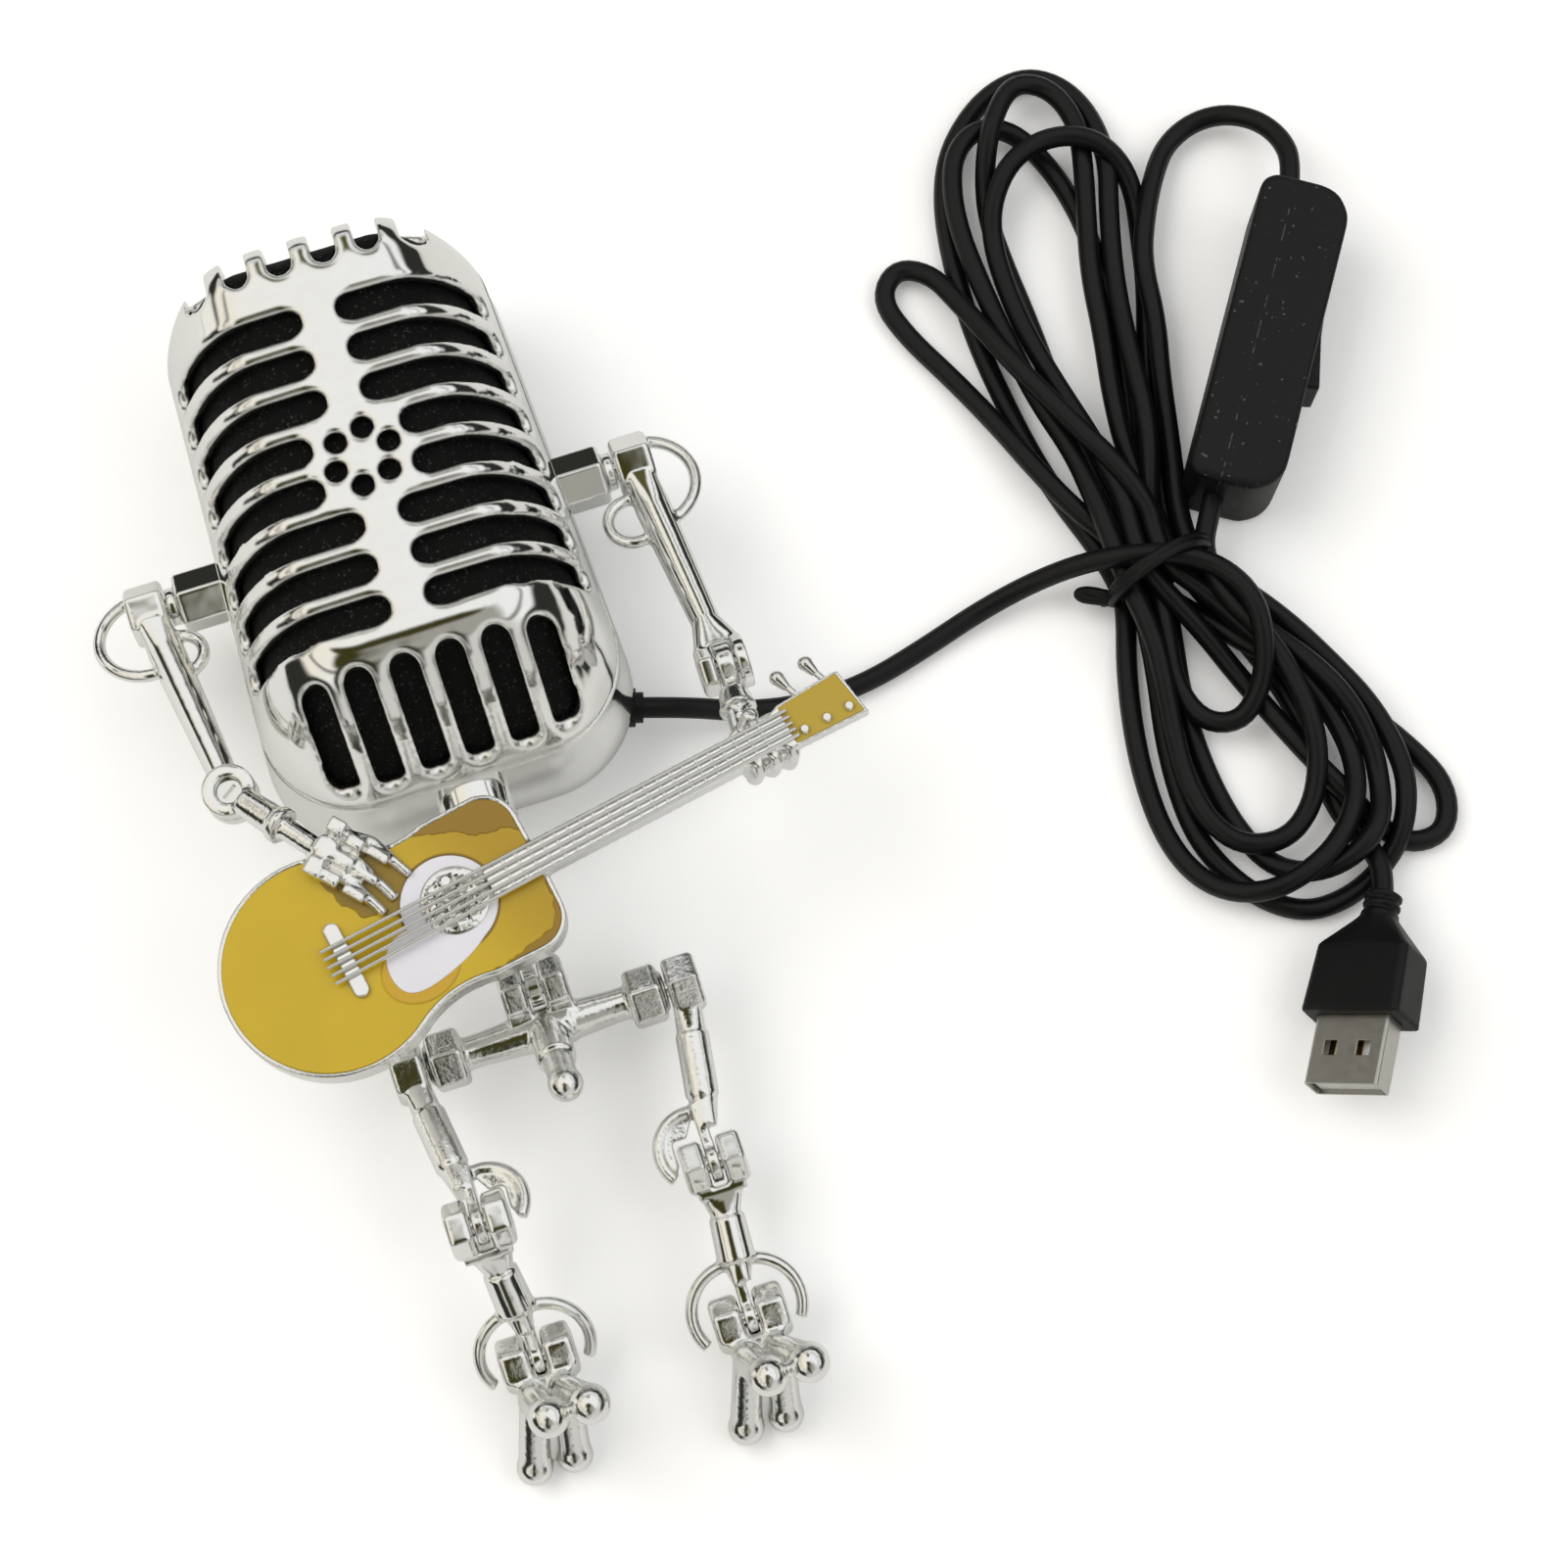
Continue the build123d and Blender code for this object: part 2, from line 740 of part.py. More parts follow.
def make_left_upper_arm():
    sign = side_sign("left")
    centre = shoulder_point(sign)
    elbow = left_elbow_point()
    length = (elbow - centre).length
    half_gap = elbow_tongue / 2 + side_gap
    outer = half_gap + elbow_ear
    pitch = left_arm_pitch()
    with BuildPart() as arm:
        shoulder_hub(centre, sign, pitch)
        flare(centre, elbow, arm_root, 8.5, 5.0, 6.0, arm_top_radius)
        end = along(centre, elbow, length - 5.0)
        tapered_rod(along(centre, elbow, 8.5), end, arm_top_radius, arm_low_radius)
        flare(elbow, centre, 2.9, 8.2, 2 * outer - 0.8, 4.8, arm_low_radius + 0.1)
        hexagon(elbow, elbow.X - outer, elbow.X - half_gap, elbow_radius, pitch)
        with BuildSketch(side_plane(elbow.X + half_gap, elbow.Y, elbow.Z, pitch)):
            Circle(elbow_radius + 0.6)
        extrude(amount=elbow_ear - 0.8)
        with BuildSketch(side_plane(elbow.X - half_gap, elbow.Y, elbow.Z, pitch)):
            Circle(elbow_radius + open_pivot_gap)
        extrude(amount=2 * half_gap, mode=Mode.SUBTRACT)
        shoulder_guards(centre, sign, pitch)
        bore_shoulder_hub(centre, sign)
        cross_bore(elbow, elbow.X - outer + 0.8, elbow.X + outer, elbow_pin_radius + seat_gap)
    return arm.part


def make_left_elbow_pin():
    elbow = left_elbow_point()
    outer = elbow_tongue / 2 + side_gap + elbow_ear
    with BuildPart() as pin:
        cross_pin(elbow, elbow.X - outer + 0.9, elbow.X + outer - 0.8, elbow_pin_radius)
    return pin.part


# ---------------------------------------------------------------- guitar
def guitar_plane(height):
    direction = (cos(radians(guitar_angle)), sin(radians(guitar_angle)), 0)
    return Plane(origin=(guitar_x, guitar_y, height), x_dir=direction, z_dir=(0, 0, 1))


def guitar_point(u, v, z):
    a = radians(guitar_angle)
    return Vector(guitar_x + u * cos(a) - v * sin(a), guitar_y + u * sin(a) + v * cos(a), z)


def guitar_outline(inset=0.0):
    """Waisted outline of the guitar's body, drawn once and mirrored."""
    with BuildSketch(mode=Mode.PRIVATE) as outline:
        with BuildLine():
            lower = CenterArc((lower_end + lower_radius, 0), lower_radius, 180, -lower_sweep)
            waist = TangentArc(lower @ 1, (upper_start, upper_half - 0.2), tangent=lower % 1)
            corner = (upper_end, upper_half)
            FilletPolyline(waist @ 1, corner, (upper_end + 0.2, 0), radius=upper_corner)
            mirror(about=Plane.XZ)
        make_face()
        if inset:
            offset(amount=-inset, kind=Kind.INTERSECTION, mode=Mode.REPLACE)
    return outline.sketch


def rosette_outline():
    """Ring about the sound hole with the pick guard that hangs from it."""
    with BuildSketch(mode=Mode.PRIVATE) as outline:
        with Locations((-rosette_shift, 0)):
            Circle(rosette_radius)
        with BuildLine():
            Spline((5.6, -2.6), (2.2, -6.0), (-5.6, -9.0), (-11.9, -8.4), (-12.7, -4.4), (-7.6, -0.6))
            Line((-7.6, -0.6), (5.6, -2.6))
        make_face()
    return outline.sketch


def guitar_top():
    return guitar_back + guitar_thickness


def forearm_points():
    """Elbow, end of the sleeve and wrist of the right forearm."""
    elbow = Vector(right_elbow_x, right_elbow_y, right_eye_height + eye_thickness / 2)
    wrist = guitar_point(-13.2, 14.6, guitar_top() + 0.9)
    return elbow, wrist


def right_hand():
    """Sleeve, wrist, palm and three fingers that lie on the guitar."""
    elbow, wrist = forearm_points()
    tapered_rod(along(elbow, wrist, 2.6), along(elbow, wrist, 9.2), 2.1, 2.35)
    tapered_rod(along(elbow, wrist, 9.2), along(elbow, wrist, 10.6), 2.8, 2.8)
    tapered_rod(along(elbow, wrist, 10.6), wrist, 1.65, 1.55)
    palm_low = guitar_point(-15.8, 13.1, guitar_top() + 0.7)
    palm_high = guitar_point(-9.8, 16.6, guitar_top() + 0.7)
    tapered_rod(palm_low, palm_high, 1.5, 1.5)
    for base, tip in (((-10.0, 16.0), (-3.9, 6.3)), ((-12.6, 14.4), (-7.2, 4.1)), ((-15.0, 12.9), (-9.5, 2.9))):
        knuckle = guitar_point((base[0] + tip[0]) / 2 + 0.5, (base[1] + tip[1]) / 2 + 1.6, guitar_top() + 0.75)
        tapered_rod(guitar_point(*base, guitar_top() + 0.7), knuckle, 1.15, 0.95)
        tapered_rod(knuckle, guitar_point(*tip, guitar_top() + 0.2), 0.95, 0.75)


def left_hand():
    """Tongue, sleeve, palm behind the neck and fingers that curl round its edge."""
    elbow = left_elbow_point()
    half = elbow_tongue / 2
    palm = guitar_point(47.6, 1.4, guitar_back - 0.6)
    cross_pin(elbow, elbow.X - half, elbow.X + half, elbow_radius)
    tapered_rod(along(elbow, palm, 1.4), along(elbow, palm, 5.0), 1.25, 1.25)
    tapered_rod(along(elbow, palm, 5.0), along(elbow, palm, 8.6), 2.2, 2.9)
    tapered_rod(along(elbow, palm, 8.6), palm, 1.9, 1.9)
    with BuildSketch(guitar_plane(guitar_back - 1.8)) as back_of_hand:
        with Locations((49.2, 0.4)):
            RectangleRounded(8.6, 7.2, 1.6)
    extrude(back_of_hand.sketch, amount=neck_bottom() + 0.2 - guitar_back + 1.8)
    cross_bore(elbow, elbow.X - half, elbow.X + half, elbow_pin_radius + open_pivot_gap)
    for step, u in enumerate((46.2, 48.9, 51.6)):
        low = guitar_point(u, -2.9 - 0.2 * step, guitar_back - 0.8)
        knuckle = guitar_point(u + 0.4, -neck_half - 1.1, guitar_top() - 1.2)
        tapered_rod(low, knuckle, 1.3, 1.15)
        tapered_rod(knuckle, guitar_point(u + 0.7, -neck_half - 0.1, guitar_top() + 0.4), 1.15, 0.85)
    thumb = guitar_point(49.6, 4.4, guitar_top() - 0.4)
    tapered_rod(guitar_point(47.2, 3.0, guitar_back - 0.4), thumb, 1.5, 1.2)


def neck_bottom():
    return guitar_top() + neck_rise - neck_thickness


def make_guitar_casting():
    with BuildPart() as casting:
        with BuildSketch(guitar_plane(guitar_back)):
            add(guitar_outline())
        extrude(amount=guitar_thickness)
        with BuildSketch(guitar_plane(guitar_top() - enamel_depth)):
            add(guitar_outline(rim_width))
        extrude(amount=enamel_depth, mode=Mode.SUBTRACT)
        with BuildSketch(guitar_plane(guitar_top() - enamel_depth)):
            Circle(sound_hole_radius)
        extrude(amount=enamel_depth)
        with BuildSketch(guitar_plane(neck_bottom())):
            with Locations(((fretboard_start + neck_end) / 2, 0)):
                Rectangle(neck_end - fretboard_start, 2 * neck_half)
        extrude(amount=neck_thickness)
        with BuildSketch(guitar_plane(guitar_top() + neck_rise - headstock_thickness)):
            with BuildLine():
                Polyline(
                    (neck_end - 0.5, -neck_half), (neck_end + 1.6, -headstock_half),
                    (headstock_end, -headstock_half - 0.2), (headstock_end - 1.2, headstock_half + 0.6),
                    (neck_end + 1.6, headstock_half), (neck_end - 0.5, neck_half), close=True,
                )
            make_face()
        extrude(amount=headstock_thickness)
        with BuildSketch(guitar_plane(guitar_top() + neck_rise - headstock_enamel_depth)):
            add(headstock_outline())
        extrude(amount=headstock_enamel_depth, mode=Mode.SUBTRACT)
        elbow, wrist = forearm_points()
        with BuildSketch(Plane.XY.offset(right_eye_height)):
            with Locations((right_elbow_x, right_elbow_y)):
                Circle(eye_radius)
        extrude(amount=eye_thickness)
        right_hand()
        left_hand()
        with BuildSketch(Plane.XY.offset(right_eye_height)):
            with Locations((right_elbow_x, right_elbow_y)):
                Circle(eye_hole_radius)
        extrude(amount=eye_thickness, mode=Mode.SUBTRACT)
    return casting.part


def headstock_outline():
    with BuildSketch(mode=Mode.PRIVATE) as outline:
        with BuildLine():
            rim = headstock_rim
            Polyline(
                (neck_end + 1.6, rim - headstock_half), (headstock_end - rim, rim - headstock_half - 0.2),
                (headstock_end - 1.2 - rim, headstock_half + 0.6 - rim), (neck_end + 1.6, headstock_half - rim),
                close=True,
            )
        make_face()
    return outline.sketch


def make_guitar_enamel(casting):
    with BuildPart() as enamel:
        with BuildSketch(guitar_plane(guitar_top() - enamel_depth)):
            add(guitar_outline(rim_width))
            add(rosette_outline(), mode=Mode.SUBTRACT)
        extrude(amount=enamel_depth)
        add(casting, mode=Mode.SUBTRACT)
        add(make_guitar_bridge(), mode=Mode.SUBTRACT)
    return enamel.part


def make_rosette_enamel(casting):
    with BuildPart() as enamel:
        with BuildSketch(guitar_plane(guitar_top() - enamel_depth)):
            add(rosette_outline())
        extrude(amount=enamel_depth)
        add(casting, mode=Mode.SUBTRACT)
    return enamel.part


def make_headstock_enamel():
    with BuildPart() as enamel:
        with BuildSketch(guitar_plane(guitar_top() + neck_rise - headstock_enamel_depth)):
            add(headstock_outline())
        extrude(amount=headstock_enamel_depth)
    return enamel.part


def make_guitar_bridge():
    with BuildPart() as bridge:
        with BuildSketch(guitar_plane(guitar_top() - enamel_depth)):
            with Locations((bridge_u, -0.5)):
                SlotOverall(bridge_length, bridge_width, rotation=90)
        extrude(amount=enamel_depth + bridge_height)
    return bridge.part


def make_guitar_strings():
    height = guitar_top() + neck_rise + string_radius + string_lift
    with BuildPart() as strings:
        for step in centred(string_count):
            v = step * 2 * (neck_half - 0.5) / (string_count - 1)
            start = guitar_point(string_start, v * 1.25 - 0.5, height)
            end = guitar_point(string_end, v, height)
            tapered_rod(start, end, string_radius, string_radius)
    return strings.part


def make_tuner_pegs():
    middle = guitar_top() + neck_rise - headstock_thickness / 2
    with BuildPart() as pegs:
        for u in (56.4, 61.0):
            root = guitar_point(u, headstock_half + 0.65, middle)
            tip = guitar_point(u - 1.1, headstock_half + peg_reach + 0.6, middle)
            tapered_rod(root, guitar_point(u - 0.5, headstock_half + 2.0, middle), 0.5, 0.5)
            tapered_rod(guitar_point(u - 0.5, headstock_half + 1.8, middle), tip, 0.6, peg_radius)
            with Locations(tip):
                Sphere(peg_radius)
        with BuildSketch(guitar_plane(guitar_top() + neck_rise + seat_gap)):
            with Locations((55.0, -1.7), (58.6, -1.7), (62.2, -1.7)):
                Circle(0.85)
        extrude(amount=0.7, taper=25)
    return pegs.part


# ---------------------------------------------------------------- spine and pelvis
def waist_point():
    return Vector(0, waist_y, waist_z)


def make_neck_collar(head_seat):
    with BuildPart() as collar:
        with BuildSketch(down_plane(6 - head_bottom, spine_z)):
            Circle(collar_radius)
        extrude(amount=6 + collar_length)
        with BuildSketch(down_plane(-head_bottom - collar_length, spine_z)):
            Circle(spine_radius + 1.0)
        extrude(amount=collar_stub)
        with BuildSketch(down_plane(-head_bottom - collar_length, spine_z)):
            Circle(spine_radius + spine_gap)
        extrude(amount=collar_stub, mode=Mode.SUBTRACT)
        add(head_seat, mode=Mode.SUBTRACT)
    return collar.part


def make_spine_rod():
    start = Vector(0, -head_bottom - collar_length - spine_gap, spine_z)
    waist = waist_point()
    with BuildPart() as rod:
        tapered_rod(start, along(start, waist, (waist - start).length - 4.4), spine_radius, spine_radius)
        with BuildSketch(side_plane(-waist_tongue / 2, waist.Y, waist.Z)):
            Circle(waist_eye_radius)
            with Locations((-3.4, 0.2)):
                Rectangle(6.8, 2 * tongue_half)
        extrude(amount=waist_tongue)
        cross_bore(waist, -waist_tongue, waist_tongue, pin_radius + fit_gap)
    return rod.part


def hip_point(sign):
    return Vector(sign * (hip_hub_start + hip_hub_length / 2), hip_y, hip_z)


def make_pelvis():
    waist = waist_point()
    hip = Vector(0, hip_y, hip_z)
    near = waist_tongue / 2 + side_gap
    ball = Vector(0.4, hip_y - prong_drop, hip_z + prong_rise)
    with BuildPart() as pelvis:
        cross_pin(hip, -hip_boss_start - 0.5, hip_boss_start + 0.5, pelvis_bar_radius)
        for sign in (-1, 1):
            with BuildSketch(side_plane(0, hip.Y, hip.Z)) as middle:
                Circle(pelvis_bar_radius + 0.7)
            with BuildSketch(side_plane(sign * hip_boss_start * 0.8, hip.Y, hip.Z)) as end:
                Circle(pelvis_bar_radius)
            loft([middle.sketch, end.sketch])
            hexagon(hip, *span(sign, hip_boss_start, hip_boss_start + hip_boss_length), hex_flat_radius)
            boss_end = hip_boss_start + hip_boss_length
            cross_pin(hip, *span(sign, boss_end, hip_hub_start - side_gap), groove_radius)
            hexagon(waist, *span(sign, near, near + waist_ear), waist_flat_radius)
            ear_low = span(sign, near, near + waist_ear)[0]
            with BuildSketch(side_plane(ear_low, waist.Y, waist.Z, waist_to_hip())):
                with Locations((4.2, 0)):
                    Rectangle(5.2, 4.4)
            extrude(amount=waist_ear)
        with BuildSketch(side_plane(-near, waist.Y, waist.Z)):
            Circle(waist_eye_radius + side_gap)
        extrude(amount=2 * near, mode=Mode.SUBTRACT)
        tapered_rod(hip, along(hip, ball, prong_drop * 0.8), prong_sleeve_radius, prong_sleeve_radius)
        tapered_rod(hip, ball, prong_radius, prong_radius)
        with Locations(ball):
            Sphere(prong_ball_radius)
        cross_bore(waist, -near - waist_ear, near + waist_ear, pin_radius + seat_gap)
        for sign in (-1, 1):
            cross_bore(hip, *span(sign, hip_boss_start - 2, hip_hub_start), pin_radius + seat_gap)
    return pelvis.part


def waist_to_hip():
    """Pitch of the line from the waist axis to the hip axis."""
    return degrees(atan2(hip_z - waist_z, waist_y - hip_y))


def make_waist_pin():
    outer = waist_tongue / 2 + side_gap + waist_ear
    with BuildPart() as pin:
        cross_pin(waist_point(), -outer + 0.1, outer - 0.1, pin_radius)
    return pin.part


def make_hip_pins():
    end = hip_hub_start + hip_hub_length - 1.0
    with BuildPart() as pins:
        for sign in (-1, 1):
            cross_pin(hip_point(sign), *span(sign, hip_boss_start - 1.9, end), pin_radius)
    return pins.part


# ---------------------------------------------------------------- legs
def leg_points(side):
    sign = side_sign(side)
    hip = hip_point(sign)
    knee = point_from(hip, thigh_pitch[side], thigh_length, sign * knee_x)
    ankle = point_from(knee, shin_pitch[side], shin_length, sign * ankle_x)
    return hip, knee, ankle


def tongue(joint, pitch, reach):
    """Flat tongue with a round eye, on the link that comes down to this joint."""
    with BuildSketch(side_plane(joint.X - tongue_thickness / 2, joint.Y, joint.Z, pitch)) as profile:
        Circle(tongue_eye_radius)
        with Locations((-reach / 2, 0)):
            Rectangle(reach, 2 * tongue_half)
    extrude(profile.sketch, amount=tongue_thickness)
    cross_bore(joint, joint.X - tongue_thickness, joint.X + tongue_thickness, pin_radius + fit_gap)


def ears(joint, pitch, ear, flat_radius, web_end):
    """Two hexagonal ears with the web that joins them on the side of their own link."""
    near = tongue_thickness / 2 + side_gap
    for sign in (-1, 1):
        low, high = span(sign, near, near + ear)
        hexagon(joint, joint.X + low, joint.X + high, flat_radius, pitch)
    with BuildSketch(side_plane(joint.X - near - ear * 0.7, joint.Y, joint.Z, pitch)) as web:
        with Locations(((web_start + web_end) / 2, 0)):
            Rectangle(web_end - web_start, 4.6)
    extrude(web.sketch, amount=2 * (near + ear * 0.7))
    cross_bore(joint, joint.X - near - ear, joint.X + near + ear, pin_radius + seat_gap)


def clear_ears(joint, ear, flat_radius):
    """Cut away the room in which two ears turn beside a tongue."""
    near = tongue_thickness / 2
    for sign in (-1, 1):
        low, high = span(sign, near, near + ear + 2 * side_gap)
        cross_bore(joint, joint.X + low, joint.X + high, flat_radius / cos(pi / 6) + side_gap)


def make_thigh(side):
    sign = side_sign(side)
    hip, knee, ankle = leg_points(side)
    pitch = thigh_pitch[side]
    up = Vector(0, cos(radians(pitch)), -sin(radians(pitch)))
    inward = Vector(-sign, 0, 0)
    with BuildPart() as thigh:
        hexagon(hip, *span(sign, hip_hub_start, hip_hub_start + hip_hub_length), hex_flat_radius, pitch)
        flare(hip, knee, 2.4, 7.6, 4.2, 5.6, thigh_radius * 0.86)
        tapered_rod(along(hip, knee, 7.4), along(knee, hip, 9.8), thigh_radius, thigh_radius)
        flare(knee, hip, 5.3, 9.9, tongue_thickness + 1.2, tongue_root, thigh_radius * 0.9)
        filled_guard([
            knee + inward * 0.6 + up * 8.0,
            knee + inward * 7.1 + up * 4.2,
            knee + inward * 6.0 - up * 0.8,
        ])
        clear_ears(knee, knee_ear, knee_flat_radius)
        tongue(knee, pitch, 9.0)
        cross_bore(hip, *span(sign, 0, hip_hub_start + hip_hub_length - 1.0 + side_gap), pin_radius + fit_gap)
    return thigh.part


def make_shin(side):
    hip, knee, ankle = leg_points(side)
    pitch = shin_pitch[side]
    up = Vector(0, cos(radians(pitch)), -sin(radians(pitch)))
    with BuildPart() as shin:
        ears(knee, pitch, knee_ear, knee_flat_radius, 4.8)
        flare(knee, ankle, 4.5, 8.4, 6.4, 4.4, shin_radius * 0.75)
        tapered_rod(along(knee, ankle, 8.0), along(ankle, knee, 8.4), shin_radius, shin_radius + 0.25)
        flare(ankle, knee, 5.3, 8.6, tongue_thickness + 1.2, tongue_root, shin_radius * 0.9)
        tongue(ankle, pitch, 8.4)
        for sign in (-1, 1):
            across = Vector(sign, 0, 0)
            hoop([
                ankle + across * 1.0 + up * 8.2,
                ankle + across * 7.8 + up * 3.6,
                ankle + across * 7.1 - up * 2.2,
            ])
    return shin.part


def make_foot(side):
    hip, knee, ankle = leg_points(side)
    pitch = foot_pitch[side]
    down = Vector(0, -cos(radians(pitch)), sin(radians(pitch)))
    forward = Vector(0, sin(radians(pitch)), cos(radians(pitch)))
    with BuildPart() as foot:
        ears(ankle, pitch, ankle_ear, ankle_flat_radius, 7.4)
        for sign in (-1, 1):
            across = Vector(sign * prong_spread, 0, 0)
            for reach, radius in ((toe_forward, toe_ball_radius), (-heel_back, heel_ball_radius)):
                lean = Vector(reach * foot_lean, 0, 0)
                ball = ankle + down * sole_drop + forward * reach + across + lean
                knuckle = ankle + down * 6.2 + forward * (reach * 0.12) + across * 0.8
                tapered_rod(knuckle, ball, toe_radius, radius - 0.3)
                with Locations(ball):
                    Sphere(radius)
    return foot.part


def make_leg_pin(joint, ear):
    outer = tongue_thickness / 2 + side_gap + ear
    with BuildPart() as pin:
        cross_pin(joint, joint.X - outer + 0.15, joint.X + outer - 0.15, pin_radius)
    return pin.part


# ---------------------------------------------------------------- cord
def corner_radii(points):
    """Largest radius that each corner of a route leaves room for, with the turn in degrees."""
    radii = []
    for before, here, after in zip(points, points[1:], points[2:]):
        turn = (here - before).get_angle(after - here)
        run = min((here - before).length, (after - here).length)
        radii.append(0.45 * run / tan(radians(turn) / 2))
    return radii


def make_cord(name, route):
    points = [Vector(*point) for point in route]
    radii = corner_radii(points)
    with BuildPart() as cord:
        with BuildLine() as path:
            if len(points) == 2:
                Line(*points)
            else:
                FilletPolyline(*points, radius=radii)
        with BuildSketch(Plane(origin=path.line @ 0, z_dir=path.line % 0)):
            Circle(cord_radius)
        sweep()
    length = sum(edge.length for edge in path.edges())
    ratio = cord.part.volume / (pi * cord_radius**2 * length)
    print(f"{name}: length {length:.1f}, volume over section times length {ratio:.3f},",
          "radii", [round(radius, 1) for radius in radii])
    return cord.part


def switch_exit(end):
    """Point inside the loop end (1) or the tie end (-1) of the switch where a cord starts."""
    plane = switch_plane(switch_bottom_depth + seam_gap / 2)
    return plane.origin + plane.x_dir * end * (switch_length / 2 - cord_entry / 2)


def plug_exit():
    return plug_plane(cord_entry - plug_body_length / 2 - plug_shoulder_length - strain_length).origin


def gland_exit():
    return gland_plane(gland_length - cord_entry).origin


def lead_route():
    return [
        tuple(gland_exit()),
        (35.0, -35.6, 7.4),
        (42.6, -37.9, 4.1),
        (52.0, -39.4, 1.9),
        (62.5, -39.2, 1.8),
        (73.0, -36.6, 1.8),
        (84.0, -33.4, 1.8),
        (95.0, -33.4, 2.8),
        (105.0, -37.4, 4.6),
    ]


def switch_loop_route():
    return [
        (126.6, 13.0, 4.6),
        (130.4, 20.6, 3.4),
        (134.2, 26.8, 2.6),
        (137.4, 31.3, 2.6),
        (142.4, 33.6, 3.2),
        (147.8, 33.2, 4.2),
        (152.3, 30.0, 5.5),
        (154.6, 25.0, 6.9),
        (154.2, 19.6, 8.2),
        tuple(switch_exit(1)),
    ]


def switch_tail_route():
    return [
        tuple(switch_exit(-1)),
        (121.3, -31.6, 8.3),
        (119.2, -38.6, 7.2),
    ]


def plug_lead_route():
    return [
        (128.4, -90.6, 5.2),
        (127.5, -93.9, 5.7),
        tuple(plug_exit()),
    ]


def hank_outline():
    """Outer shape of the tied hank seen from above: a fan of loops each side of the tie."""
    with BuildSketch(mode=Mode.PRIVATE) as outline:
        with BuildLine():
            Spline(
                (104.6, tie_y), (101.5, -17.5), (94.0, -0.5), (87.4, 13.0), (87.6, 19.9),
                (93.5, 18.6), (97.6, 21.6), (100.6, 35.0), (107.6, 45.0), (119.6, 49.6),
                (127.0, 41.0), (127.8, 24.0), (124.8, 5.0), (119.9, -12.0), (117.4, tie_y),
                (123.6, -46.0), (131.0, -59.0), (138.0, -72.0), (140.6, -82.0), (134.0, -88.2),
                (127.0, -92.4), (114.0, -95.2), (103.0, -90.0), (97.0, -79.0), (97.6, -64.0),
                (102.0, -48.0),
                periodic=True,
            )
        make_face()
    return outline.sketch


def make_cord_hank():
    with BuildPart() as hank:
        with BuildSketch():
            add(hank_outline())
        extrude(amount=hank_height)
        with BuildSketch(Plane.YZ.offset(60)):
            with BuildLine():
                Polyline(
                    (-120, hank_height + 1), (-120, hank_end_height), (-80, hank_end_height),
                    (tie_y - 12, hank_height), (tie_y + 12, hank_height), (10, hank_end_height),
                    (60, hank_end_height), (60, hank_height + 1), close=True,
                )
            make_face()
        extrude(amount=120, mode=Mode.SUBTRACT)
        with BuildSketch(Plane.XZ.offset(-tie_y - tie_half_width)):
            with Locations((tie_x(), hank_height / 2)):
                Rectangle(40, hank_height + 2)
                Rectangle(*tie_core(), mode=Mode.SUBTRACT)
        extrude(amount=2 * tie_half_width, mode=Mode.SUBTRACT)
    return hank.part


def tie_x():
    return 111.4


def tie_core():
    """Width and height of the bundle inside the tie."""
    return 13.6 - 2 * tie_thickness, hank_height - 2 * tie_thickness


def make_twist_tie():
    width, height = tie_core()
    with BuildPart() as tie:
        with BuildSketch(Plane.XZ.offset(-tie_y - tie_half_width + 0.2)):
            with Locations((tie_x(), hank_height / 2)):
                RectangleRounded(width + 2 * tie_thickness, height + 2 * tie_thickness, 1.2)
                Rectangle(width + 2 * tie_gap, height + 2 * tie_gap, mode=Mode.SUBTRACT)
        extrude(amount=2 * tie_half_width - 0.4)
    return tie.part


# ---------------------------------------------------------------- switch
def switch_plane(depth):
    """Plane across the switch's depth. Local X runs towards the loop end, local Y is up."""
    a = radians(switch_angle)
    out = Vector(sin(a), -cos(a), 0)
    centre = Vector(switch_x, switch_y, switch_width / 2) + out * (depth - switch_depth / 2)
    return Plane(origin=centre, x_dir=(cos(a), sin(a), 0), z_dir=out)


def make_switch_cover(low, high, closed_low):
    """Half of the switch housing between two depths, hollow and closed on one side."""
    with BuildPart() as cover:
        with BuildSketch(switch_plane(low)):
            RectangleRounded(switch_length, switch_width, switch_corner)
        extrude(amount=high - low)
        closed = cover.faces().sort_by(lambda face: face.center().dot(switch_plane(0).z_dir))
        fillet(closed[0 if closed_low else -1].edges(), 1.6)
        start = low + switch_wall if closed_low else low
        with BuildSketch(switch_plane(start)):
            RectangleRounded(switch_length - 2 * switch_wall, switch_width - 2 * switch_wall, 2.2)
        extrude(amount=high - low - switch_wall, mode=Mode.SUBTRACT)
    return cover


def cord_hole(cover, end):
    """Half round hole in the end wall of a cover, on the seam."""
    plane = switch_plane(switch_bottom_depth + seam_gap / 2)
    a = plane.x_dir * end
    with BuildPart() as drill:
        with BuildSketch(Plane(origin=plane.origin + a * (switch_length / 2 - switch_wall - 1), z_dir=a)):
            Circle(cord_radius + 2 * entry_gap)
        extrude(amount=switch_wall + 2)
    return cover - drill.part


def make_switch_bottom_cover():
    cover = make_switch_cover(0, switch_bottom_depth, True).part
    return cord_hole(cord_hole(cover, 1), -1)


def rocker_centre():
    return switch_plane(switch_depth - rocker_pivot_depth).origin + switch_plane(0).x_dir * rocker_offset


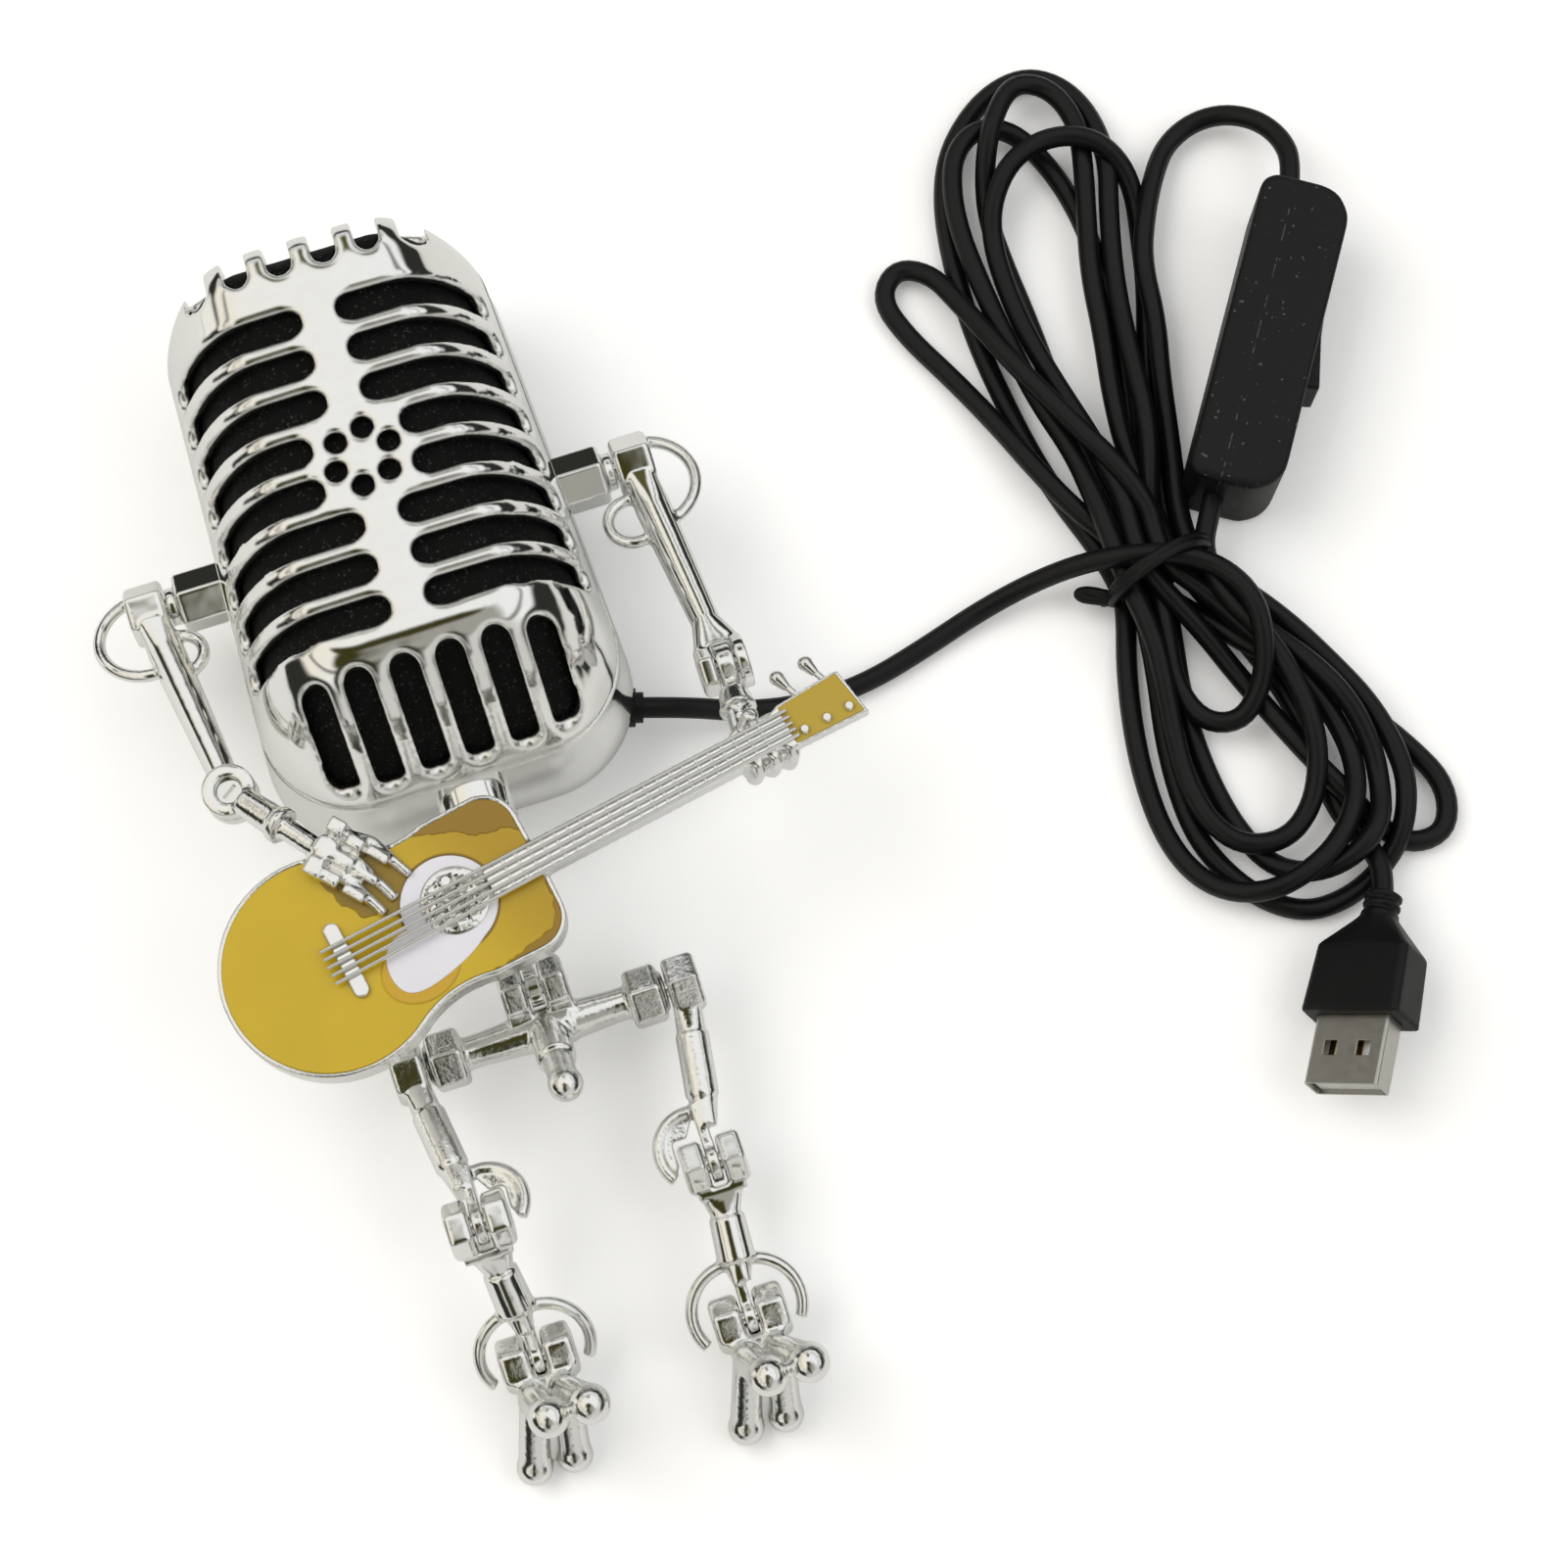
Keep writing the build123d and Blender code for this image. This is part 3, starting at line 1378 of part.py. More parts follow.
def make_switch_top_cover():
    cover = make_switch_cover(switch_bottom_depth + seam_gap, switch_depth, False).part
    cover = cord_hole(cord_hole(cover, 1), -1)
    with BuildPart() as opened:
        add(cover)
        with BuildSketch(switch_plane(switch_depth - switch_wall - 1)):
            with Locations((rocker_offset, 0)):
                Rectangle(rocker_length + 2 * rocker_slot_gap, rocker_width + 2 * rocker_slot_gap)
        extrude(amount=switch_wall + 3, mode=Mode.SUBTRACT)
        plane = switch_plane(0)
        for end in (-1, 1):
            start = rocker_centre() + Vector(0, 0, end * (rocker_width / 2 + rocker_slot_gap))
            with BuildSketch(Plane(origin=start, x_dir=plane.x_dir, z_dir=(0, 0, end))):
                Rectangle(3.4, 2 * rocker_pivot_depth - 0.6)
            extrude(amount=switch_width / 2 - switch_wall - rocker_width / 2 - rocker_slot_gap + 0.2)
            with BuildSketch(Plane(origin=start, x_dir=plane.x_dir, z_dir=(0, 0, end))):
                Circle(rocker_pin_radius + fit_gap)
            extrude(amount=2.0, mode=Mode.SUBTRACT)
    return opened.part


def make_switch_rocker():
    """Rocker with a shallow V top, pressed down at its loop end."""
    centre = rocker_centre()
    plane = switch_plane(0)
    profile = Plane(origin=centre - Vector(0, 0, rocker_width / 2), x_dir=plane.x_dir, z_dir=(0, 0, 1))
    half = rocker_length / 2
    up = -1 if profile.y_dir.dot(plane.z_dir) < 0 else 1
    with BuildPart() as rocker:
        with BuildSketch(profile):
            with BuildLine():
                Polyline(
                    (-half + 0.8, -up * rocker_below), (half - 0.8, -up * rocker_below),
                    (half, up * (rocker_pivot_depth - 0.2)), (half * 0.1, up * (rocker_pivot_depth + 0.5)),
                    (-half + 0.9, up * (rocker_pivot_depth + rocker_rise + 0.5)),
                    (-half + 0.3, up * (rocker_pivot_depth - 1.2)), close=True,
                )
            make_face()
        extrude(amount=rocker_width)
        with BuildSketch(profile.offset(-1)):
            Circle(rocker_pin_radius + seat_gap)
        extrude(amount=rocker_width + 2, mode=Mode.SUBTRACT)
    return rocker.part


def make_rocker_pin():
    centre = rocker_centre()
    half = rocker_width / 2 + rocker_slot_gap + 1.4
    with BuildPart() as pin:
        with BuildSketch(Plane(origin=centre - Vector(0, 0, half), z_dir=(0, 0, 1))):
            Circle(rocker_pin_radius)
        extrude(amount=2 * half)
    return pin.part


def make_switch_contacts():
    """Two brass strips on the floor of the switch, one bent up under the rocker."""
    with BuildPart() as contacts:
        for end in (-1, 1):
            with BuildSketch(switch_plane(switch_wall + seat_gap)):
                with Locations((end * 9.0 + rocker_offset, 0)):
                    Rectangle(12.0, 4.0)
            extrude(amount=0.8)
            with BuildSketch(switch_plane(switch_wall + seat_gap)):
                with Locations((end * 4.0 + rocker_offset, 0)):
                    Rectangle(0.8, 4.0)
            extrude(amount=3.6)
    return contacts.part


# ---------------------------------------------------------------- plug
def plug_plane(offset):
    """Plane across the plug. Offset runs towards its mouth; local X is the plug's width."""
    a = radians(plug_axis_angle)
    p = radians(plug_pitch)
    mouth = Vector(cos(a) * cos(p), sin(a) * cos(p), sin(p))
    level = Vector(-sin(a), cos(a), 0)
    width_dir = level.rotate(Axis((0, 0, 0), tuple(mouth)), plug_roll)
    centre = Vector(plug_x, plug_y, plug_centre_height()) + mouth * offset
    return Plane(origin=centre, x_dir=width_dir, z_dir=mouth)


def plug_centre_height():
    """Height of the plug's middle that leaves its lowest corner on the floor."""
    roll = radians(plug_roll)
    half_width = (plug_body_width - plug_taper) / 2
    half_height = (plug_body_height - plug_taper / 2) / 2
    corner = half_width * sin(roll) + half_height * cos(roll)
    return corner * cos(radians(plug_pitch)) + sin(radians(plug_pitch)) * plug_body_length / 2


def make_plug_body():
    neck = -plug_body_length / 2 - plug_shoulder_length
    with BuildPart() as body:
        with BuildSketch(plug_plane(-plug_body_length / 2)):
            RectangleRounded(plug_body_width - plug_taper, plug_body_height - plug_taper / 2, 1.0)
        with BuildSketch(plug_plane(plug_body_length / 2)):
            RectangleRounded(plug_body_width, plug_body_height, 1.0)
        loft()
        with BuildSketch(plug_plane(neck)):
            Circle(strain_radius)
        with BuildSketch(plug_plane(-plug_body_length / 2)):
            RectangleRounded(plug_body_width - plug_taper, plug_body_height - plug_taper / 2, 1.0)
        loft()
        with BuildSketch(plug_plane(neck)):
            Circle(strain_radius)
        extrude(amount=-strain_length)
        for groove in range(strain_grooves):
            with BuildSketch(plug_plane(neck - 0.9 - strain_groove_pitch * groove)):
                Circle(strain_radius + 1)
                Circle(strain_radius - 0.7, mode=Mode.SUBTRACT)
            extrude(amount=-strain_groove_width, mode=Mode.SUBTRACT)
        with BuildSketch(plug_plane(neck - strain_length - 1)):
            Circle(cord_radius + entry_gap)
        extrude(amount=2 + cord_entry, mode=Mode.SUBTRACT)
        with BuildSketch(plug_plane(plug_body_length / 2 - shell_in)):
            RectangleRounded(shell_width + 2 * seat_gap, shell_height + 2 * seat_gap, 0.5)
        extrude(amount=shell_in, mode=Mode.SUBTRACT)
    return body.part


def make_plug_shell():
    start = plug_body_length / 2 - shell_in
    inner = (shell_width - 2 * shell_wall, shell_height - 2 * shell_wall)
    with BuildPart() as shell:
        with BuildSketch(plug_plane(start)):
            RectangleRounded(shell_width, shell_height, 0.5)
            RectangleRounded(*inner, 0.3, mode=Mode.SUBTRACT)
        extrude(amount=shell_in + shell_out)
        middle = plug_plane(plug_body_length / 2 + shell_out * 0.48)
        window = Plane(origin=middle.origin, x_dir=middle.x_dir, z_dir=middle.y_dir)
        with BuildSketch(window.offset(-shell_height)):
            with Locations((-2.7, 0), (2.7, 0)):
                Rectangle(2.2, 2.4)
        extrude(amount=2 * shell_height, mode=Mode.SUBTRACT)
    return shell.part


def make_plug_tongue():
    start = plug_body_length / 2 - shell_in
    inner_half = shell_height / 2 - shell_wall
    with BuildPart() as insulator:
        with BuildSketch(plug_plane(start + seat_gap)):
            with Locations((0, tongue_height / 2 - inner_half + seat_gap)):
                Rectangle(shell_width - 2 * shell_wall - 0.8, tongue_height)
        extrude(amount=shell_in + shell_out - 0.8)
        with BuildSketch(plug_plane(start + seat_gap)):
            RectangleRounded(shell_width - 2 * shell_wall - 2 * seat_gap, 2 * inner_half - 2 * seat_gap, 0.4)
        extrude(amount=shell_in - 1)
    return insulator.part


def make_plug_contacts():
    start = plug_body_length / 2
    face = seat_gap + tongue_height - shell_height / 2 + shell_wall
    with BuildPart() as contacts:
        with BuildSketch(plug_plane(start)):
            with Locations([(x, face + 0.12) for x in (-3.5, -1.0, 1.0, 3.5)]):
                Rectangle(1.0, 0.2)
        extrude(amount=shell_out - 3.0)
    return contacts.part


# ---------------------------------------------------------------- build and write
def main():
    os.makedirs("parts", exist_ok=True)
    head_seat = head_block(back_heights(seam_height, 0), -shell_gap)
    save(make_front_shell(), "front_shell")
    save(make_rear_shell(), "rear_shell")
    save(make_grille_cloth(), "grille_cloth")
    save(make_led_board(), "led_board")
    save(make_led_chips(), "led_chips")
    save(make_board_screws(), "board_screws")
    save(make_shell_screws(), "shell_screws")
    save(make_cord_gland(head_seat), "cord_gland")
    for side in ("right", "left"):
        save(make_shoulder_boss(side, head_seat), f"{side}_shoulder_boss")
    save(make_shoulder_pins(), "shoulder_pins")
    save(make_right_upper_arm(), "right_upper_arm")
    save(make_right_elbow_screw(), "right_elbow_screw")
    save(make_left_upper_arm(), "left_upper_arm")
    save(make_left_elbow_pin(), "left_elbow_pin")

    casting = make_guitar_casting()
    save(casting, "guitar_casting")
    save(make_guitar_enamel(casting), "guitar_enamel")
    save(make_rosette_enamel(casting), "rosette_enamel")
    save(make_headstock_enamel(), "headstock_enamel")
    save(make_guitar_bridge(), "guitar_bridge")
    save(make_guitar_strings(), "guitar_strings")
    save(make_tuner_pegs(), "tuner_pegs")

    save(make_neck_collar(head_seat), "neck_collar")
    save(make_spine_rod(), "spine_rod")
    save(make_pelvis(), "pelvis")
    save(make_waist_pin(), "waist_pin")
    save(make_hip_pins(), "hip_pins")
    for side in ("right", "left"):
        hip, knee, ankle = leg_points(side)
        save(make_thigh(side), f"{side}_thigh")
        save(make_shin(side), f"{side}_shin")
        save(make_foot(side), f"{side}_foot")
        save(make_leg_pin(knee, knee_ear), f"{side}_knee_pin")
        save(make_leg_pin(ankle, ankle_ear), f"{side}_ankle_pin")

    save(make_cord("lead_cord", lead_route()), "lead_cord")
    save(make_cord("switch_loop_cord", switch_loop_route()), "switch_loop_cord")
    save(make_cord("switch_tail_cord", switch_tail_route()), "switch_tail_cord")
    save(make_cord("plug_lead_cord", plug_lead_route()), "plug_lead_cord")
    save(make_cord_hank(), "cord_hank")
    save(make_twist_tie(), "twist_tie")
    save(make_switch_bottom_cover(), "switch_bottom_cover")
    save(make_switch_top_cover(), "switch_top_cover")
    save(make_switch_rocker(), "switch_rocker")
    save(make_rocker_pin(), "rocker_pin")
    save(make_switch_contacts(), "switch_contacts")
    save(make_plug_body(), "plug_body")
    save(make_plug_shell(), "plug_shell")
    save(make_plug_tongue(), "plug_tongue")
    save(make_plug_contacts(), "plug_contacts")


main()
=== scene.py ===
"""Robot shaped desk lamp: the finishes, castings, cords and stage of the visual model, as an add-on."""
import math

import bmesh
import bpy
from mathutils import Matrix, Vector
from mathutils.kdtree import KDTree


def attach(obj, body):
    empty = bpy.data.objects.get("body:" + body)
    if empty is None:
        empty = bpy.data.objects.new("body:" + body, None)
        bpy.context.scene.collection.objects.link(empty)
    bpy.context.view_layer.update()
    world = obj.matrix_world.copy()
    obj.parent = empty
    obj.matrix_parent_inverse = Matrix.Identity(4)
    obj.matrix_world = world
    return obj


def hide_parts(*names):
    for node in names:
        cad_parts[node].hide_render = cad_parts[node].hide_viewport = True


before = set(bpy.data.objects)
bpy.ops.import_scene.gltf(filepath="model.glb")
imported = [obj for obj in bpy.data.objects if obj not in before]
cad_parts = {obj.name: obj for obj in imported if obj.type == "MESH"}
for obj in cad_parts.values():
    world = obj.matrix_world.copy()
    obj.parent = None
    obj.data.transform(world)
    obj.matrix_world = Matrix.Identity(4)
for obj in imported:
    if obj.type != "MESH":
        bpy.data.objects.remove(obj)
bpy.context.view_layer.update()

bl_info = {
    "name": "Robot Desk Lamp",
    "version": (1, 0, 0),
    "blender": (4, 5, 0),
    "location": "3D View > Sidebar > Lamp",
    "description": "Builds the finishes, castings, cords and stage of a robot shaped desk lamp",
    "category": "Object",
}

MM = 0.001
# A unit so long that a height counted in it is nothing
ANY_HEIGHT = 1e4

# Which node has which finish
CHROME_NODES = (
    "front_shell", "rear_shell", "right_shoulder_boss", "left_shoulder_boss", "right_upper_arm",
    "left_upper_arm", "guitar_casting", "guitar_bridge", "neck_collar", "spine_rod", "pelvis",
    "right_thigh", "right_shin", "right_foot", "left_thigh", "left_shin", "left_foot",
)
STEEL_NODES = (
    "board_screws", "shell_screws", "shoulder_pins", "right_elbow_screw", "left_elbow_pin",
    "guitar_strings", "tuner_pegs", "waist_pin", "hip_pins", "right_knee_pin", "right_ankle_pin",
    "left_knee_pin", "left_ankle_pin", "rocker_pin",
)
PLASTIC_NODES = ("cord_gland", "switch_bottom_cover", "switch_top_cover", "switch_rocker", "plug_body")
CORD_NODES = ("lead_cord", "switch_loop_cord", "switch_tail_cord", "plug_lead_cord", "cord_hank")

# What is made again with soft edges: node, its body, size of its cells in millimetres, rounds of smoothing
CASTINGS = (
    ("front_shell", "head", 0.5, 5), ("right_shoulder_boss", "head", 0.24, 4),
    ("left_shoulder_boss", "head", 0.24, 4), ("right_upper_arm", "guitar_arm", 0.24, 4),
    ("left_upper_arm", "left_arm", 0.24, 4), ("guitar_casting", "guitar_arm", 0.3, 3),
    ("pelvis", "pelvis", 0.26, 6), ("right_thigh", "right_thigh", 0.24, 4),
    ("right_shin", "right_shin", 0.24, 4), ("right_foot", "right_foot", 0.26, 28),
    ("left_thigh", "left_thigh", 0.24, 4), ("left_shin", "left_shin", 0.24, 4),
    ("left_foot", "left_foot", 0.26, 28),
)
MOULDINGS = (
    ("switch_rocker", "rocker", 0.25, 12), ("plug_body", "head", 0.3, 4),
)
ROUGH_CASTINGS = ("pelvis", "guitar_casting", "right_thigh", "left_thigh", "right_foot", "left_foot")

# The guitar's own frame: its middle and the height of its top, in millimetres, and the turn of its neck in
# degrees
GUITAR_PLACE = (-6.4, -60.7)
GUITAR_TURN = 10.2
GUITAR_TOP = 38.5
# The square knuckles, from the palm to the fingertips: place along and across the guitar, length, width and
# height above its top in millimetres, and turn from its neck in degrees
HAND_BLOCKS = (
    (-9.8, 16.8, 2.6, 2.2, 3.0, -58.0), (-12.5, 15.0, 3.0, 2.6, 2.6, -60.0),
    (-15.2, 13.2, 2.4, 2.8, 2.9, -56.0), (-8.6, 13.6, 2.6, 1.9, 2.5, -58.0),
    (-11.2, 12.0, 2.8, 2.0, 2.4, -58.0), (-13.9, 10.6, 2.6, 1.9, 2.5, -58.0),
    (-6.6, 10.6, 3.4, 1.3, 2.0, -58.0), (-9.4, 8.8, 3.6, 1.3, 1.9, -58.0),
    (-12.0, 7.2, 3.4, 1.3, 2.0, -58.0),
)
# The crumpled foil in the sound hole, in millimetres
FOIL_PLACE = (-0.5, -0.2)
FOIL_RADIUS = 4.4
FOIL_THICKNESS = 0.15
FOIL_CREASE = 1.9
FOIL_RELIEF = 1.3
# The frets, in millimetres: the first one's place along the neck, their spacing, the length, width and height
# of each, and how far its middle lies above the guitar's top
FRET_COUNT = 21
FRET_START = 8.4
FRET_PITCH = 2.05
FRET_SIZE = (0.5, 4.7, 0.26)
FRET_RISE = 0.93
# Edges in the ochre enamel, in the guitar's own frame: a direction, how far along it the edge lies, and its
# softness
# The first edge bounds a painted dark reflection, which darkens the enamel over the guitar's upper end toward
# its neck
PAINTED_REFLECTION_END = ((1.0, 0.35), 2.0, 9.0)
UPPER_RIM = ((0.42, 0.907), 9.7, 0.12)
NECK_RIM = ((1.0, -0.3), 13.9, 0.15)
LOWER_RIM = ((0.12, -1.0), 11.3, 0.15)
LOWER_RIM_START = ((1.0, 0.0), -9.0, 1.0)
# Ovals in it: a middle, a turn in degrees, half of the length and of the width, and the border's softness
# The first oval is painted shade under the hand's fingers
HAND_SHADE_OVAL = ((-9.6, 9.0), -58.0, (7.9, 5.0), 0.03)
LOWER_LIP = ((-8.4, -6.2), 8.0, (5.9, 4.9), 0.04)
HOLE_LINE = ((-0.9, 0.0), 0.0, (7.3, 7.3), 0.02)
# How far noise moves the borders of the rims and of the painted shade under the hand
RIM_AND_SHADE_WOBBLE = 2.2
# The colour of the painted dark reflection over the upper end
PAINTED_REFLECTION_OCHRE = (0.42, 0.262, 0.0)
RIM_OCHRE = (0.27, 0.155, 0.0)
# The colour of the painted shade under the hand
HAND_SHADE_OCHRE = (0.24, 0.15, 0.0)
LIP_OCHRE = (0.56, 0.33, 0.01)

# The head's front shell has its large creases rounded, not at all below the first of these heights and in
# full above the second, by way of its convex hull in cells of this size. All in millimetres.
SOFTENED_FROM, SOFTENED_TO = 25.0, 32.0
SOFTENING_CELL = 1.0
SOFTENING_ROUNDS = 40
# How many points of the softened hull move each point of the shell
SOFTENING_GUIDES = 6

# The switch: its middle and its length, depth and height in millimetres, and its turn in degrees
SWITCH_MIDDLE = (138.9, -8.8, 8.5)
SWITCH_SIZE = (52.0, 14.6, 17.0)
SWITCH_TURN = 56.5
# The radii of its upright corners, on the rocker's side and on the other, and how its edges are softened
SWITCH_OUTER_RADIUS, SWITCH_INNER_RADIUS = 5.6, 2.6
SWITCH_CELL = 0.4
SWITCH_ROUNDS = 30
# The rocker's opening: along the case and out from its middle, and its size
OPENING_PLACE = (2.0, 4.2)
OPENING_SIZE = (18.6, 12.0, 9.8)
# How far the seam lies from the middle of the case, away from the rocker, and where it is full and gone
SEAM_PLACE = 2.1
SEAM_FULL, SEAM_GONE = 0.05, 0.12

# The cord from the lamp to the switch: out of the gland, over the tie, round the small loop, then in and
# out of the hank, in millimetres
LAMP_CORD = (
    (27.53, -33.43, 8.0), (35.0, -35.6, 7.4), (42.6, -37.9, 4.1), (52.0, -39.4, 1.9), (62.5, -39.2, 1.8),
    (73.0, -36.6, 1.8), (83.3, -33.6, 2.2), (92.6, -32.4, 4.8), (100.4, -33.1, 9.0), (107.8, -34.9, 11.3),
    (114.6, -37.2, 11.6), (119.7, -41.3, 11.8), (122.4, -47.1, 12.2), (122.0, -53.8, 11.0),
    (119.8, -59.8, 7.8), (115.2, -64.0, 5.4), (109.6, -61.8, 4.5), (107.6, -54.6, 4.6),
    (109.4, -46.0, 4.8), (110.7, -37.0, 4.8), (110.7, -31.0, 4.8),
    # up the middle of the hank and round the tall outer fold
    (114.6, -24.2, 6.8), (117.6, -14.2, 8.0), (119.0, -2.6, 6.6), (121.1, 10.4, 5.0), (124.2, 21.9, 5.0),
    (127.4, 31.3, 4.8), (127.6, 40.4, 3.0), (125.2, 47.0, 1.8), (120.4, 50.4, 1.7), (114.2, 49.6, 1.7),
    (108.3, 46.0, 1.7), (103.3, 40.7, 1.7), (100.3, 33.9, 1.7), (98.6, 25.8, 1.7), (97.8, 17.2, 1.7),
    (97.6, 8.3, 1.7), (98.4, -1.9, 1.7), (99.6, -11.9, 1.7), (101.6, -21.0, 1.7), (104.2, -29.0, 1.7),
    (105.6, -37.0, 1.7),
    # the lower left fold
    (105.1, -40.8, 1.7), (102.1, -49.1, 1.7), (99.8, -58.3, 1.7), (98.5, -67.4, 1.7), (98.5, -75.8, 1.7),
    (100.2, -82.7, 2.2), (103.7, -87.9, 4.4), (109.6, -90.4, 6.2), (115.8, -89.6, 7.2), (122.0, -86.8, 7.4),
    (126.6, -82.2, 7.0), (129.4, -76.0, 5.6), (129.4, -69.3, 5.2), (127.6, -62.7, 5.6), (124.6, -56.1, 6.0),
    (120.6, -49.5, 6.2), (117.0, -43.0, 7.0), (112.4, -37.0, 7.7), (112.4, -31.0, 7.7),
    # the long fold beside the head
    (112.9, -27.0, 8.4), (110.0, -18.8, 9.2), (106.8, -12.3, 8.8), (103.8, -5.3, 8.4), (100.7, 1.8, 8.0),
    (98.6, 8.6, 6.4), (96.6, 15.2, 4.4), (94.2, 22.0, 3.0), (89.2, 25.0, 2.2), (85.2, 20.8, 1.8),
    (87.4, 13.2, 1.7), (91.8, 4.4, 1.9), (95.9, -6.0, 3.4), (98.6, -14.5, 5.0), (102.2, -23.0, 5.0),
    (107.3, -31.0, 4.8), (107.3, -37.0, 4.8),
    # the lowest fold
    (107.1, -42.4, 4.6), (105.8, -52.2, 3.6), (103.9, -61.2, 2.2), (102.9, -70.0, 1.7), (103.1, -78.3, 1.7),
    (105.9, -85.7, 1.7), (110.2, -91.3, 1.7), (115.4, -94.5, 1.7), (121.5, -94.4, 1.7), (127.6, -92.2, 1.9),
    (132.9, -87.8, 4.4), (136.2, -80.7, 5.0), (136.4, -74.0, 5.0), (134.9, -66.4, 5.0), (131.7, -59.0, 5.0),
    (127.9, -51.2, 5.0), (123.4, -44.4, 5.0), (117.5, -37.0, 4.8), (117.5, -31.0, 4.8),
    # up to the switch
    (118.2, -27.0, 4.8), (120.6, -16.5, 4.9), (122.8, -6.4, 4.9), (125.4, 2.9, 4.9), (126.6, 13.0, 4.9),
    (130.0, 20.6, 5.2), (133.8, 26.8, 4.2), (137.4, 31.3, 2.8), (142.4, 33.6, 3.2), (147.8, 33.2, 4.2),
    (152.3, 30.0, 5.5), (154.6, 25.0, 6.9), (154.2, 19.6, 8.2), (151.1, 13.7, 8.5),
)

# The cord from the switch to the plug, in millimetres
PLUG_CORD = (
    (123.0, -28.85, 8.5), (121.3, -31.6, 8.3), (118.2, -36.8, 8.1), (119.0, -45.1, 9.0), (122.6, -52.0, 9.0),
    (124.6, -59.6, 8.5), (125.1, -67.6, 8.3), (123.8, -74.1, 7.0), (120.8, -79.8, 5.4), (115.6, -83.4, 5.0),
    (109.0, -82.4, 5.0), (105.2, -77.4, 5.0), (104.0, -70.1, 4.9), (104.7, -62.4, 5.2), (105.8, -54.7, 6.6),
    (106.6, -47.2, 7.6), (105.6, -37.0, 7.7), (105.6, -31.0, 7.7),
    # the inner left fold
    (105.5, -23.7, 7.0), (105.3, -14.5, 5.4), (103.2, -5.6, 5.0), (102.1, 2.3, 5.0), (101.2, 10.2, 5.0),
    (100.7, 17.9, 5.0), (100.5, 26.3, 4.8), (101.5, 33.4, 4.9), (104.0, 39.8, 4.8), (109.0, 43.0, 4.8),
    (114.8, 41.4, 3.0), (118.4, 34.7, 1.8), (120.2, 27.3, 1.7), (120.7, 19.2, 1.7), (120.4, 10.4, 1.7),
    (119.1, 1.0, 1.7), (117.1, -8.1, 1.7), (114.4, -17.8, 1.7), (112.8, -26.0, 1.7),
    (112.4, -31.0, 1.7), (112.4, -37.0, 1.7),
    # a lower fold
    (110.6, -46.7, 1.7), (108.8, -55.4, 1.7), (108.0, -63.6, 1.7), (108.3, -72.0, 1.7), (109.6, -79.4, 1.7),
    (112.4, -86.2, 2.4), (117.3, -89.5, 4.6), (123.6, -89.4, 6.2), (129.4, -86.0, 7.2), (132.0, -80.0, 5.0),
    (132.8, -73.3, 6.2), (131.5, -65.8, 7.8), (128.4, -58.9, 7.8), (124.2, -51.6, 5.6), (120.6, -44.9, 4.6),
    (114.1, -37.0, 4.8), (114.1, -31.0, 4.8),
    # the upper fold with the shallow end
    (114.0, -26.6, 4.8), (113.2, -17.1, 4.8), (114.4, -6.9, 4.9), (116.5, 3.1, 4.9), (117.9, 12.9, 4.9),
    (120.4, 21.8, 4.9), (123.0, 30.4, 4.9), (124.8, 38.6, 5.2), (122.6, 46.0, 4.9), (116.8, 48.4, 5.8),
    (110.9, 41.9, 7.6), (107.6, 35.1, 5.0), (106.0, 28.3, 2.4), (106.1, 19.7, 1.7), (106.5, 11.4, 1.7),
    (106.6, 3.2, 1.7), (106.6, -5.2, 1.7), (106.8, -13.9, 1.7), (107.9, -22.9, 1.7), (109.0, -31.0, 1.7),
    (109.0, -37.0, 1.7),
    # the fold to the right
    (114.3, -43.3, 1.7), (119.0, -49.9, 3.6), (124.1, -55.6, 3.9), (129.7, -61.3, 1.9), (134.7, -67.4, 1.7),
    (139.1, -74.4, 1.7), (142.6, -82.2, 1.7), (140.2, -89.2, 1.7), (134.0, -89.6, 1.7), (130.0, -85.2, 2.4),
    (127.0, -79.6, 4.6), (123.6, -72.8, 5.2), (120.7, -65.0, 4.4), (117.6, -56.2, 3.6), (114.4, -47.5, 5.0),
    (109.0, -37.0, 7.7), (109.0, -31.0, 7.7),
    # the inner fold and down to the plug
    (110.0, -24.3, 7.4), (108.6, -13.5, 6.4), (106.6, -3.2, 5.2), (104.9, 6.4, 5.0), (104.4, 15.0, 5.0),
    (104.8, 22.8, 5.0), (106.6, 29.0, 6.6), (111.6, 34.6, 8.0), (118.6, 36.6, 8.0), (125.2, 34.6, 8.0),
    (129.0, 30.0, 5.6), (129.8, 24.4, 2.8), (128.6, 18.3, 1.7), (126.6, 9.8, 1.7), (123.3, 0.5, 1.7),
    (120.1, -8.8, 1.7), (118.1, -18.4, 1.7), (116.4, -26.6, 1.7), (115.8, -31.0, 1.7), (115.8, -37.0, 1.7),
    (118.9, -45.4, 1.7), (121.7, -52.5, 1.7), (124.1, -60.6, 1.7), (125.3, -69.6, 1.7), (124.8, -78.2, 1.7),
    (126.2, -84.6, 1.9), (127.8, -90.0, 4.6), (127.0, -94.0, 5.6), (125.5, -97.1, 6.37),
)
CORD_DIAMETER = 3.3

# The wire tie: twice round the bundle, and its twisted end, in millimetres
TIE_WIRE = (
    (101.9, -38.6, 3.2), (103.0, -38.7, 6.6), (103.6, -38.3, 10.2), (105.6, -37.9, 12.6),
    (108.0, -37.3, 14.0), (112.4, -36.2, 14.1), (116.2, -35.4, 12.6), (119.2, -35.2, 9.6),
    (120.2, -35.6, 5.4), (119.6, -36.4, 1.6), (116.0, -37.4, 0.7), (108.0, -38.0, 0.7),
    (104.0, -38.6, 1.4), (102.6, -39.5, 5.0), (103.2, -39.6, 9.2), (105.2, -39.0, 12.2),
    (108.0, -38.3, 14.0), (111.6, -37.2, 14.4), (115.6, -36.5, 13.6), (118.4, -36.2, 11.0),
    (119.8, -36.8, 7.2), (119.0, -37.8, 3.6),
)
